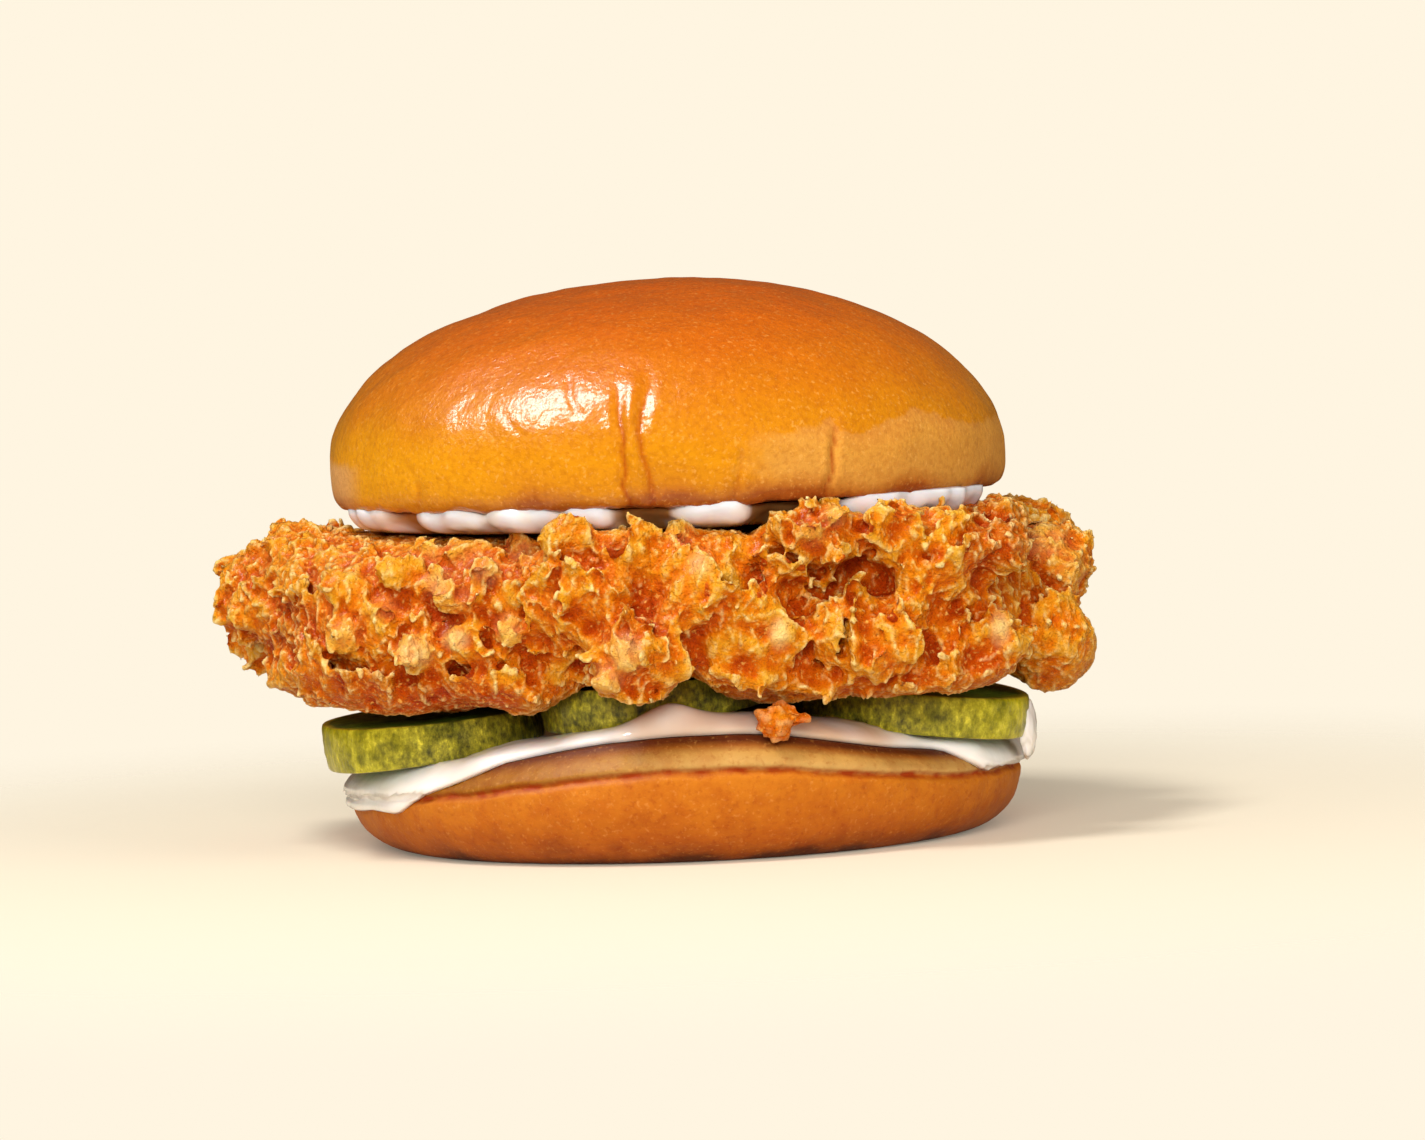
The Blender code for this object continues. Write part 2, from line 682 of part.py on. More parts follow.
def main():
    clear_scene()
    burger = bpy.data.collections.new("chicken_burger")
    bpy.context.scene.collection.children.link(burger)
    brioche = make_material("brioche_crust", (0.72, 0.28, 0.03), 0.35)
    heel_crust = make_material("heel_crust", (0.62, 0.22, 0.04), 0.6)
    batter = make_material("fried_batter", (0.70, 0.25, 0.03), 0.5)
    mayo = make_material("mayonnaise", (0.82, 0.72, 0.60), 0.3)
    pickle = make_material("pickle_flesh", (0.33, 0.28, 0.03), 0.3)
    crown = make_crown(burger, brioche)
    heel = make_heel(burger, heel_crust)
    upper_mayo = make_upper_mayo(burger, mayo)
    lower_mayo = make_lower_mayo(burger, mayo)
    crumb = make_crumb(burger, batter)
    slices = [make_pickle(place, *row, burger, pickle) for place, row in enumerate(PICKLES)]
    under = nearest_neighbours([heel, lower_mayo, crumb, *slices])
    over = nearest_neighbours([crown, upper_mayo])
    fillet = make_fillet(under, over, burger, batter)
    centre_on_footprint([crown, heel, upper_mayo, lower_mayo, crumb, fillet, *slices])


main()
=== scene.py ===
"""The looks of the fried chicken burger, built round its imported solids.

Every piece is made in the bun's own frame, with the bun's upright axis as Z and the shown side
towards -Y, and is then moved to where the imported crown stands."""

import contextlib
import json
import math
import random

import bpy
import numpy as np
from mathutils import Matrix, Vector, noise
from mathutils.bvhtree import BVHTree
from mathutils.kdtree import KDTree

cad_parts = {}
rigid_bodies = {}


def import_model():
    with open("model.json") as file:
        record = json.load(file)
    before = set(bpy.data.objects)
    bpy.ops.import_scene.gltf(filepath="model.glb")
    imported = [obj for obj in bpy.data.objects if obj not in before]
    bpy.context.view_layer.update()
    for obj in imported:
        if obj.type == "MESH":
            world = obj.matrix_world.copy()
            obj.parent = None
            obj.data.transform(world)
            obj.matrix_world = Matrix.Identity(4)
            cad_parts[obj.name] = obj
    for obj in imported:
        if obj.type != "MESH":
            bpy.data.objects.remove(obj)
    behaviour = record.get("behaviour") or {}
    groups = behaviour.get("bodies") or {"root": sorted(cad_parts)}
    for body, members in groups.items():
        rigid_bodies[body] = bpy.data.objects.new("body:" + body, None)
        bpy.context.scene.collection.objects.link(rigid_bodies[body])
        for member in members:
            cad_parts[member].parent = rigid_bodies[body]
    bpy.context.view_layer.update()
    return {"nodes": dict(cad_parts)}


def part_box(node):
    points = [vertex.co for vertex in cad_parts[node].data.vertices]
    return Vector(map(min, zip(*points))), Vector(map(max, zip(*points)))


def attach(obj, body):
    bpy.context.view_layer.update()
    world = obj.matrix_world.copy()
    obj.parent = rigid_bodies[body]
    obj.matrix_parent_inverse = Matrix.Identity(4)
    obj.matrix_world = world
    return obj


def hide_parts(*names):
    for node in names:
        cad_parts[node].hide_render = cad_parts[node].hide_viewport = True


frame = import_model()

MM = 0.001

heel_low, heel_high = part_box("bottom_bun")
HEEL_MIDDLE = (heel_low + heel_high) / 2

# The camera

CAMERA_BACK = 0.830
CAMERA_ASIDE = 0.00548
CAMERA_HEIGHT = 0.082
AIM_HEIGHT = 0.0423
CAMERA_ROLL = math.radians(-2.29)
LENS_MM = 130.5


def add_camera():
    data = bpy.data.cameras.new("camera")
    data.lens = LENS_MM
    data.sensor_width = 36.0
    data.dof.use_dof = False
    camera = bpy.data.objects.new("camera", data)
    bpy.context.scene.collection.objects.link(camera)
    place = Vector((HEEL_MIDDLE.x + CAMERA_ASIDE, HEEL_MIDDLE.y - CAMERA_BACK, CAMERA_HEIGHT))
    pitch = math.atan((CAMERA_HEIGHT - AIM_HEIGHT) / CAMERA_BACK)
    turn = Matrix.Rotation(math.pi / 2 - pitch, 4, "X") @ Matrix.Rotation(CAMERA_ROLL, 4, "Z")
    camera.matrix_world = Matrix.Translation(place) @ turn
    bpy.context.scene.camera = camera


add_camera()

# Helpers for shapes


def smooth_step(low, high, value):
    share = min(1.0, max(0.0, (value - low) / (high - low)))
    return share * share * (3 - 2 * share)


def wobble(point, size, seed=0.0):
    """Smooth noise from -1 to 1 whose lumps are about this size."""
    return noise.noise(Vector(point) / size + Vector((seed, seed * 1.7, -seed)))


def lumps(point, layers):
    """Unevenness of several sizes: each layer is a height, the size of its lumps and a seed."""
    return sum(height * wobble(point, size, seed) for height, size, seed in layers)


def around(azimuth, radius, height):
    return Vector((radius * math.cos(azimuth), radius * math.sin(azimuth), height))


def deselect():
    for found in bpy.context.view_layer.objects:
        found.select_set(False)


def activate(piece):
    deselect()
    piece.select_set(True)
    bpy.context.view_layer.objects.active = piece


@contextlib.contextmanager
def editing(piece):
    activate(piece)
    bpy.ops.object.mode_set(mode="EDIT")
    yield
    bpy.ops.object.mode_set(mode="OBJECT")


def apply_modifier(piece, kind, **settings):
    activate(piece)
    added = piece.modifiers.new(kind.lower(), kind)
    for key, value in settings.items():
        setattr(added, key, value)
    bpy.ops.object.modifier_apply(modifier=added.name)


def sphere(name, segments, rings):
    deselect()
    bpy.ops.mesh.primitive_uv_sphere_add(segments=segments, ring_count=rings, radius=1.0)
    piece = bpy.context.object
    piece.name = piece.data.name = name
    return piece


def skinned_sphere(name, segments, rings, skin, crowd=0.0):
    """A sphere whose every point is moved to skin(azimuth, fall), where fall runs from 0 at the
    top to 1 at the bottom. Crowd draws its points together on the shown side."""
    piece = sphere(name, segments, rings)
    for vertex in piece.data.vertices:
        azimuth = math.atan2(vertex.co.y, vertex.co.x)
        azimuth -= crowd * math.sin(azimuth + math.pi / 2)
        fall = math.acos(min(1.0, max(-1.0, vertex.co.z))) / math.pi
        vertex.co = skin(azimuth, fall)
    return piece


def table_of(items, name, width, kind=float):
    flat = np.zeros(len(items) * width, kind)
    items.foreach_get(name, flat)
    return flat.reshape(-1, width)


def points_of(mesh):
    return table_of(mesh.vertices, "co", 3)


def normals_of(mesh):
    return table_of(mesh.vertices, "normal", 3)


def edges_of(mesh):
    return table_of(mesh.edges, "vertices", 2, int)


def put_points(mesh, points):
    mesh.vertices.foreach_set("co", np.asarray(points, float).ravel())
    mesh.update()


def noises(points, size, seed=0.0):
    shift = Vector((seed, seed * 1.7, -seed))
    return np.array([noise.noise(Vector(point) / size + shift) for point in points])


def paint(piece, name, red, green, blue):
    """Keeps three numbers from 0 to 1 at every point, for the piece's material to read."""
    count = len(piece.data.vertices)
    layer = piece.data.color_attributes.new(name, "FLOAT_COLOR", "POINT")
    values = np.ones((count, 4))
    for channel, numbers in enumerate((red, green, blue)):
        values[:, channel] = np.clip(numbers, 0.0, 1.0)
    layer.data.foreach_set("color", values.ravel())


def line_distance(x, z, line):
    """Distance in the X and Z plane to a line of points, and how far along it that is, from 0 to 1."""
    best, share = 1.0e9, 0.0
    count = len(line) - 1
    for number in range(count):
        (x0, z0), (x1, z1) = line[number], line[number + 1]
        run_x, run_z = x1 - x0, z1 - z0
        along = ((x - x0) * run_x + (z - z0) * run_z) / (run_x * run_x + run_z * run_z)
        along = min(1.0, max(0.0, along))
        off = math.hypot(x - x0 - along * run_x, z - z0 - along * run_z)
        if off < best:
            best, share = off, (number + along) / count
    return best, share


def finish(piece, node, material):
    piece.data.transform(Matrix.Translation(BUN_PLACE))
    piece.data.materials.clear()
    piece.data.materials.append(material)
    piece.data.shade_smooth()
    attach(piece, "root")
    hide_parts(node)


# Helpers for materials

COORDINATES = "ShaderNodeTexCoord"
ATTRIBUTE = "ShaderNodeAttribute"
CHANNELS = "ShaderNodeSeparateColor"
AXES = "ShaderNodeSeparateXYZ"
NOISE = "ShaderNodeTexNoise"
RANGE = "ShaderNodeMapRange"
RAMP = "ShaderNodeValToRGB"
MATH = "ShaderNodeMath"
MIX = "ShaderNodeMix"
BUMP = "ShaderNodeBump"

# A Range node takes input 0 from the span of inputs 1 and 2 to that of inputs 3 and 4, which is
# 0 to 1 where they aren't given. A Channels node gives the three marks painted on a mesh, as
# outputs 0, 1 and 2. A Mix node for colours has its share as input 0 and its two colours as inputs
# 6 and 7, and gives output 2.
BLEND = {"data_type": "RGBA"}
MULTIPLY = {"data_type": "RGBA", "blend_type": "MULTIPLY"}


def linear(code):
    """An sRGB hex colour as the linear colour a shader takes."""
    parts = [int(code[place : place + 2], 16) / 255 for place in (1, 3, 5)]
    return [p / 12.92 if p <= 0.04045 else ((p + 0.055) / 1.055) ** 2.4 for p in parts] + [1.0]


def new_material(name):
    material = bpy.data.materials.new(name)
    material.use_nodes = True
    return material, material.node_tree.nodes["Principled BSDF"]


def feed(material, node, inputs):
    """Fills the inputs of a node, by name or number. Each takes a plain value, a hex colour, a
    node, or a pair of a node and one of its outputs."""
    for key, value in inputs.items():
        if isinstance(value, bpy.types.Node):
            value = (value, 0)
        if isinstance(value, tuple) and isinstance(value[0], bpy.types.Node):
            material.node_tree.links.new(value[0].outputs[value[1]], node.inputs[key])
        else:
            node.inputs[key].default_value = linear(value) if isinstance(value, str) else value


def add_node(material, kind, inputs, stops=(), **settings):
    """Adds a node with its settings and its inputs, and with the stops of a colour ramp."""
    node = material.node_tree.nodes.new(kind)
    for key, value in settings.items():
        setattr(node, key, value)
    for number, (place, code) in enumerate(stops):
        elements = node.color_ramp.elements
        element = elements[number] if number < 2 else elements.new(place)
        element.position = place
        element.color = linear(code)
    feed(material, node, inputs)
    return node


# The crown

CROWN_RADIUS = 0.0542
CROWN_TUCK = 0.0040
CROWN_BOTTOM = 0.0546
CROWN_WIDEST = 0.0623
CROWN_TOP = 0.0892
CROWN_SHIFT_X = -0.0011
CROWN_SLIM = 0.0015
DOME_SHARE = 0.58
WALL_SHARE = 0.80
CROWN_LUMPS = (
    (0.0007, 0.030, 2.0), (0.0003, 0.011, 5.0), (0.00020, 0.0062, 6.0), (0.00008, 0.0026, 7.0),
)
CROWN_EDGE_LUMPS = ((0.0004, 0.0035, 8.0), (0.0002, 0.0012, 9.0))

# Creases of the front as the photograph shows them, in mm: depth, half width, points in X and Z.
CREASES = (
    (0.55, 0.7, ((-8.2, 75.0), (-8.0, 72.6), (-7.8, 68.4), (-7.2, 64.9), (-7.6, 63.4), (-7.1, 60.4),
                 (-7.8, 58.0), (-6.8, 55.9), (-6.5, 54.0))),
    (0.50, 0.8, ((-3.0, 76.8), (-3.2, 72.4), (-4.5, 69.0), (-5.0, 66.2), (-4.6, 62.7), (-3.6, 59.4),
                 (-3.3, 57.0), (-3.5, 54.0))),
    (0.22, 0.6, ((-15.4, 76.0), (-15.3, 73.5), (-15.0, 71.3), (-13.9, 69.1))),
    (0.14, 0.5, ((-26.0, 71.1), (-25.1, 68.8), (-23.6, 66.8))),
    (0.22, 0.6, ((10.7, 65.4), (10.4, 61.0), (9.5, 57.6), (8.4, 54.6))),
    (0.60, 0.5, ((24.1, 67.6), (24.9, 65.0), (24.3, 61.4), (24.2, 58.7), (23.2, 56.6), (22.9, 54.0))),
    (0.25, 0.7, ((-39.4, 60.3), (-39.3, 58.2), (-39.6, 55.4))),
    (0.16, 0.4, ((-29.1, 58.8), (-29.9, 55.2))),
    (0.16, 0.45, ((14.2, 73.4), (15.9, 73.8), (17.0, 72.8), (15.9, 71.9), (14.4, 72.3))),
)

# The bulge that the two deepest creases leave between them, in mm.
BULGE_HEIGHT = 0.35
BULGE_HALF_WIDTH = 1.1
BULGE_BETWEEN = ((-5.6, 76.0), (-5.6, 72.0), (-6.2, 68.0), (-6.0, 63.0), (-5.4, 58.0))

# The upper edge of the dull band where the bun touched its neighbour in the tin, in mm.
DULL_RAGS = ((0.9, 0.0022, 4.0), (0.5, 0.0009, 5.0))
DULL_EDGE = ((6.6, 63.0), (10.2, 65.9), (14.2, 65.4), (17.9, 65.7), (22.0, 66.2), (24.2, 67.0),
             (27.2, 64.4), (30.5, 65.0), (33.5, 66.5), (37.9, 67.7), (43.0, 66.0), (46.1, 64.6),
             (51.8, 65.8))


def crown_profile(azimuth, fall):
    """Distance from the axis and height, over the dome, down the wall and in along the cut."""
    if fall <= DOME_SHARE:
        angle = fall / DOME_SHARE * math.pi / 2
        shoulder = 1.54 * math.sin(angle) ** 2 * math.sin(2 * angle)
        radius = CROWN_RADIUS * math.sin(angle) - CROWN_SLIM * max(0.0, math.cos(azimuth)) * shoulder
        return radius, CROWN_WIDEST + (CROWN_TOP - CROWN_WIDEST) * math.cos(angle)
    if fall <= WALL_SHARE:
        angle = smooth_step(DOME_SHARE, WALL_SHARE, fall) * math.pi / 2
        radius = CROWN_RADIUS - CROWN_TUCK * (1 - max(0.0, math.cos(angle)) ** 0.5)
        return radius, CROWN_WIDEST - (CROWN_WIDEST - CROWN_BOTTOM) * math.sin(angle) ** 0.5
    inward = (fall - WALL_SHARE) / (1 - WALL_SHARE)
    return (CROWN_RADIUS - CROWN_TUCK) * (1 - inward), CROWN_BOTTOM


def crown_creases(point):
    """Depth of the creases here, in mm, and how much painted shade their bottoms take."""
    if point.y > 0.005 or point.z < CROWN_BOTTOM + 0.0001:
        return 0.0, 0.0
    x, z = point.x / MM, point.z / MM
    sunk, dark = 0.0, 0.0
    for depth, half_width, line in CREASES:
        off, along = line_distance(x, z, line)
        if off > 6 * half_width:
            continue
        fade = smooth_step(0.0, 0.35, along) if z > 58 else 1.0
        groove = math.exp(-((off / half_width) ** 2))
        lip = 0.30 * math.exp(-(((off - 2.4 * half_width) / half_width) ** 2))
        sunk += depth * fade * (groove - lip)
        # Painted shade in the bottoms of the creases.
        dark += depth * fade * math.exp(-((off / (0.6 * half_width)) ** 2))
    off, along = line_distance(x, z, BULGE_BETWEEN)
    sunk -= (
        BULGE_HEIGHT * math.exp(-((off / BULGE_HALF_WIDTH) ** 2))
        * smooth_step(0.0, 0.2, along) * smooth_step(1.0, 0.85, along)
    )
    return sunk, dark


def dull_share(point):
    """1 in the matt band low on the right, and at the left end, 0 on the glazed crust."""
    x, z = point.x / MM, point.z / MM
    edge = DULL_EDGE[-1][1] + 1.2 * wobble(point, 0.012, 3.0)
    for (x0, z0), (x1, z1) in zip(DULL_EDGE, DULL_EDGE[1:]):
        if x0 <= x <= x1:
            edge = z0 + (z1 - z0) * (x - x0) / (x1 - x0)
    ragged = lumps(point, DULL_RAGS)
    right = smooth_step(edge + 0.8, edge - 1.2, z + ragged)
    if point.y < 0:
        right *= smooth_step(2.0, 20.0, x + 4.0 * ragged) * 0.65 + 0.35 * smooth_step(22.5, 25.0, x)
    else:
        right *= smooth_step(-30.0, 0.0, x)
    left = smooth_step(-46.0, -52.0, x) * smooth_step(64.0, 61.0, z + ragged)
    return max(right, 0.6 * left)


def make_crown():
    sunk_at, dark_at, dull_at = [], [], []

    def skin(azimuth, fall):
        radius, height = crown_profile(azimuth, fall)
        point = around(azimuth, radius, height)
        if fall > WALL_SHARE:
            sunk_at.append(0.0)
            dark_at.append(0.0)
            dull_at.append(0.5)
            return point + Vector((CROWN_SHIFT_X, 0, 0))
        raised = smooth_step(CROWN_BOTTOM, CROWN_WIDEST, height)
        out = Vector((point.x, point.y, (height - CROWN_BOTTOM) * 1.6)).normalized()
        low_edge = 1 - smooth_step(CROWN_BOTTOM, CROWN_BOTTOM + 0.0022, height)
        ragged = Vector((0, 0, lumps(point, CROWN_EDGE_LUMPS) * low_edge))
        moved = point + out * lumps(point, CROWN_LUMPS) * raised + ragged
        moved += Vector((CROWN_SHIFT_X, 0, 0))
        sunk, dark = crown_creases(moved)
        dull = dull_share(moved)
        moved -= out * (sunk * MM + 0.00010 * dull * raised)
        sunk_at.append(sunk)
        dark_at.append(dark)
        dull_at.append(dull)
        return moved

    crown = skinned_sphere("crown_crust", 384, 168, skin, crowd=0.42)
    points = points_of(crown.data)
    bake = (points[:, 2] - CROWN_BOTTOM) / (CROWN_TOP - CROWN_BOTTOM)
    paint(crown, "crust", bake, dull_at, dark_at)
    return crown


# The heel

HEEL_FOOT_RADIUS = 0.0448
HEEL_RADIUS = 0.0538
HEEL_RIM_RADIUS = 0.0503
HEEL_HEIGHT = 0.0195
HEEL_CREASE_SHARE = 0.74
HEEL_SAG = 0.0012

# Where the heel gives way under an outer slice: direction, where that starts and ends, how deep.
HEEL_DIPS = (
    (math.radians(172), -0.008, 0.056, 0.0082),
    (math.radians(-12), 0.016, 0.056, 0.0064),
)

# Shares of the way down: to the end of the cut face, to the foot, and to the crease on the side.
CUT_SHARE = 0.22
BOWL_SHARE = 0.80
BAND_SHARE = 0.34
HEEL_GRAIN = ((0.00010, 0.0014, 6.0), (0.00012, 0.004, 9.0))
CREASE_DEPTH = 0.0008
CREASE_HALF_WIDTH = 0.0006


def cut_height(x, y):
    """Height of the heel's cut face, which gives way under the filling and the outer pickles."""
    height = HEEL_HEIGHT - HEEL_SAG * (1 - smooth_step(0.030, 0.048, math.hypot(x, y)))
    for direction, start, end, depth in HEEL_DIPS:
        reach = x * math.cos(direction) + y * math.sin(direction)
        height -= depth * smooth_step(start, end, reach)
    return height


def rim_height(azimuth):
    return cut_height(HEEL_RIM_RADIUS * math.cos(azimuth), HEEL_RIM_RADIUS * math.sin(azimuth))


def heel_band(azimuth):
    """Length of the bare band between the heel's rim and its crease, measured down the side."""
    rim = rim_height(azimuth)
    return math.hypot(HEEL_RADIUS - HEEL_RIM_RADIUS, rim * (1 - HEEL_CREASE_SHARE))


def above_crease(azimuth, height):
    """How far this height on the heel's side is above its wandering crease."""
    sway = 0.00035 * wobble(around(azimuth, HEEL_RADIUS, 0), 0.006, 3.0)
    return height - rim_height(azimuth) * HEEL_CREASE_SHARE - sway


def heel_side(azimuth, down):
    """A point on the heel's side: down runs from 0 at the rim to BAND_SHARE at the crease and 1
    where the heel meets the ground."""
    rim = rim_height(azimuth)
    crease = rim * HEEL_CREASE_SHARE
    if down <= BAND_SHARE:
        share = down / BAND_SHARE
        radius = HEEL_RIM_RADIUS + (HEEL_RADIUS - HEEL_RIM_RADIUS) * math.sin(share * math.pi / 2)
        height = rim + (crease - rim) * share
    else:
        angle = (down - BAND_SHARE) / (1 - BAND_SHARE) * math.pi / 2
        radius = HEEL_FOOT_RADIUS + (HEEL_RADIUS - HEEL_FOOT_RADIUS) * math.cos(angle)
        height = crease * (1 - math.sin(angle))
    from_crease = above_crease(azimuth, height) / CREASE_HALF_WIDTH
    radius -= CREASE_DEPTH * math.exp(-from_crease * from_crease)
    uneven = 0.0006 * wobble(around(azimuth, HEEL_RADIUS, height), 0.022, 7.0)
    away = smooth_step(0.0, 0.004, height) * smooth_step(0.0, 0.15, down)
    return around(azimuth, radius + uneven * away, height)


def heel_point(azimuth, distance):
    """A point on the heel, from its distance to the axis measured out over the cut face and then
    down the side."""
    if distance <= HEEL_RIM_RADIUS:
        x, y = distance * math.cos(azimuth), distance * math.sin(azimuth)
        return Vector((x, y, cut_height(x, y)))
    return heel_side(azimuth, (distance - HEEL_RIM_RADIUS) / heel_band(azimuth) * BAND_SHARE)


def make_heel():
    band_at, crease_at = [], []

    def skin(azimuth, fall):
        if fall <= CUT_SHARE:
            band_at.append(1.0)
            crease_at.append(0.0)
            return heel_point(azimuth, fall / CUT_SHARE * HEEL_RIM_RADIUS)
        if fall >= BOWL_SHARE:
            band_at.append(0.0)
            crease_at.append(0.0)
            inward = (fall - BOWL_SHARE) / (1 - BOWL_SHARE)
            return around(azimuth, HEEL_FOOT_RADIUS * (1 - inward), 0.0)
        down = (fall - CUT_SHARE) / (BOWL_SHARE - CUT_SHARE)
        point = heel_side(azimuth, down)
        above = above_crease(azimuth, point.z)
        band = smooth_step(-0.0002, 0.0003, above)
        # The heel's material paints the crease dark as shade, stronger in some places along it than in
        # others.
        strength = 0.75 + 0.25 * wobble(around(azimuth, HEEL_RADIUS, 0), 0.004, 12.0)
        line = math.exp(-((above / 0.00075) ** 2)) * strength
        band_at.append(band)
        crease_at.append(line)
        folds = 0.00022 * wobble(around(azimuth, HEEL_RADIUS, point.z * 0.25), 0.0026, 5.0) * band
        grain = lumps(point, HEEL_GRAIN)
        edge = smooth_step(0.0, 0.06, down) * smooth_step(0.0, 0.002, point.z)
        return point + around(azimuth, (folds + grain) * edge, 0)

    heel = skinned_sphere("heel_crust", 340, 150, skin, crowd=0.40)
    points = points_of(heel.data)
    azimuths = np.arctan2(points[:, 1], points[:, 0])
    rims = np.array([rim_height(azimuth) for azimuth in azimuths])
    paint(heel, "crust", points[:, 2] / np.maximum(rims, 0.001), band_at, crease_at)
    return heel


# The pickles

PICKLE_THICKNESS = 0.0063
PICKLE_TILT_X = math.radians(2.0)
PICKLE_GAP = 0.0003
PICKLE_FACE_SHARE = 0.30
PICKLE_FACE_EDGE = 0.96
HEEL_TO_MAYO = 0.00065
LOWER_MAYO_THICKNESS = 0.0026
LOWER_MAYO_UNDER_PICKLE = 0.0007

# Slices: name, centre, radius, tilt towards +X, how much thinner the +X side is.
PICKLES = (
    ("pickle_left", (-0.0393, -0.0170), 0.0174, math.radians(-6.7), 0.16),
    ("pickle_middle", (-0.0045, -0.0248), 0.0174, math.radians(-5.5), 0.06),
    ("pickle_right", (0.0352, -0.0160), 0.0184, math.radians(8.0), -0.03),
    ("pickle_back", (0.0030, 0.0240), 0.0180, math.radians(1.5), 0.05),
)


def pickle_matrix(centre, radius, tilt):
    """Places a slice so that its underside clears the pressed mayonnaise below it."""
    turn = Matrix.Rotation(tilt, 4, "Y") @ Matrix.Rotation(PICKLE_TILT_X, 4, "X")
    level = Matrix.Translation((*centre, 0)) @ turn
    lift = 0.0
    for step in range(48):
        for share in (0.35, 0.7, 1.0):
            low = level @ around(step * math.tau / 48, radius * share, 0)
            if math.hypot(low.x, low.y) < HEEL_RIM_RADIUS + 0.001:
                mayo_top = cut_height(low.x, low.y) + HEEL_TO_MAYO + LOWER_MAYO_UNDER_PICKLE
                lift = max(lift, mayo_top + PICKLE_GAP - low.z)
    return Matrix.Translation((0, 0, lift)) @ level


def make_pickle(place, name, centre, radius, tilt, taper):
    """A thick slice, a little out of round, with cut faces above and below and a ridged skin."""

    def skin(azimuth, fall):
        uneven = 0.025 * math.sin(2 * azimuth + place) + 0.012 * math.sin(5 * azimuth + 2 * place)
        edge = radius * (1 + uneven)
        if fall > 1 - PICKLE_FACE_SHARE:
            out = PICKLE_FACE_EDGE * (1 - fall) / PICKLE_FACE_SHARE
            return around(azimuth, edge * out, 0.0)
        if fall < PICKLE_FACE_SHARE:
            out = PICKLE_FACE_EDGE * fall / PICKLE_FACE_SHARE
            top = PICKLE_THICKNESS * (1 - taper * math.cos(azimuth) * out)
            point = around(azimuth, edge * out, top)
            point.z += 0.00012 * wobble(point, 0.0028, place) * smooth_step(1.0, 0.9, out)
            return point
        angle = (fall - 0.5) / (0.5 - PICKLE_FACE_SHARE)
        angle = math.copysign(1 - (1 - abs(angle)) ** 1.6, angle) * math.pi / 2
        out = PICKLE_FACE_EDGE + (1 - PICKLE_FACE_EDGE) * max(0.0, math.cos(angle)) ** 0.4
        top = PICKLE_THICKNESS * (1 - taper * math.cos(azimuth) * out)
        point = around(azimuth, edge * out, top * (0.5 - 0.5 * math.sin(angle)))
        ridge = wobble((azimuth, point.z * 18, 0.0), 0.045, place + 2.0)
        grain = wobble(point, 0.0011, place + 7.0)
        side = max(0.0, math.cos(angle)) ** 0.5
        return point + around(azimuth, (0.00022 * ridge + 0.00010 * grain) * side, 0)

    pickle = skinned_sphere(name + "_slice", 150, 46, skin)
    points = points_of(pickle.data)
    out = np.hypot(points[:, 0], points[:, 1]) / radius
    side = np.clip((out - 0.925) / 0.05, 0, 1)
    pickle.data.transform(pickle_matrix(centre, radius, tilt))
    height = points[:, 2] / PICKLE_THICKNESS
    world = points_of(pickle.data)
    # Painted light: the skins brighten towards the outer ends of the row of slices.
    bright = np.clip((np.abs(world[:, 0] + 0.002) - 0.036) / 0.018, 0, 1)
    paint(pickle, "rind", height, side, bright)
    return pickle


def pickle_undersides(x, y, margin):
    """Height of the underside of each slice that is within a margin of this point, seen from
    above."""
    heights = []
    for matrix, centre, radius in PICKLE_PLACES:
        if math.hypot(x - centre[0], y - centre[1]) > radius * 1.03 + margin:
            continue
        normal = matrix.to_3x3() @ Vector((0, 0, 1))
        low = matrix.translation
        heights.append(low.z - (normal.x * (x - low.x) + normal.y * (y - low.y)) / normal.z)
    return heights


# Each slice's matrix, centre and radius.
PICKLE_PLACES = [(pickle_matrix(row[1], row[2], row[3]), row[1], row[2]) for row in PICKLES]

# The mayonnaise

UPPER_MAYO_RADIUS = 0.0500
UPPER_MAYO_BOTTOM = 0.0506
SKIN_STEP = 0.0004

# The mound at the front: X, Y, half width, half depth and height.
MOUND = (-0.0024, -0.0462, 0.0056, 0.0034, 0.0040)


def overflow(azimuth):
    """How far the lower mayonnaise runs past the heel's rim, down its side."""
    degrees = math.degrees(azimuth) % 360
    left = smooth_step(156, 184, degrees) * (1 - smooth_step(212, 243, degrees))
    turned = (degrees + 90) % 360
    right = smooth_step(48, 62, turned) * (1 - smooth_step(92, 118, turned))
    drawn_back = 0.0020 * smooth_step(236, 246, degrees) * (1 - smooth_step(254, 260, degrees))
    inside = -0.0011 + 0.0008 * wobble(around(azimuth, 1.0, 0.0), 0.22, 3.0) - drawn_back
    return inside + 0.0068 * left + 0.0058 * right


def off_heel(azimuth, distance, lift):
    """A point this far off the heel's skin, square to it."""
    near, far = (heel_point(azimuth, distance + step) for step in (-SKIN_STEP, SKIN_STEP))
    run = far - near
    rise = Vector((-run.z * math.cos(azimuth), -run.z * math.sin(azimuth), math.hypot(run.x, run.y)))
    return heel_point(azimuth, distance) + rise.normalized() * lift


def lower_mayo_skin(azimuth, fall):
    share = math.sin(fall * math.pi) ** 0.8
    distance = share * (HEEL_RIM_RADIUS + overflow(azimuth))
    under = off_heel(azimuth, distance, 0.0001)
    if fall >= 0.5:
        return under
    edge = max(0.0, 1 - share**7) ** 0.5
    thickness = LOWER_MAYO_THICKNESS * (1 + 0.35 * wobble(under, 0.012, 9.0))
    mound_x, mound_y, mound_width, mound_depth, mound_height = MOUND
    across = (under.x - mound_x) / mound_width
    along = (under.y - mound_y) / mound_depth
    thickness += mound_height * math.exp(-across * across - along * along)
    thickness += 0.0002 * wobble(under, 0.004, 2.0)
    point = off_heel(azimuth, distance, HEEL_TO_MAYO + thickness * edge)
    for low in pickle_undersides(point.x, point.y, 0.0006):
        point.z = min(point.z, max(under.z + PICKLE_GAP, low + 0.0002))
    return point


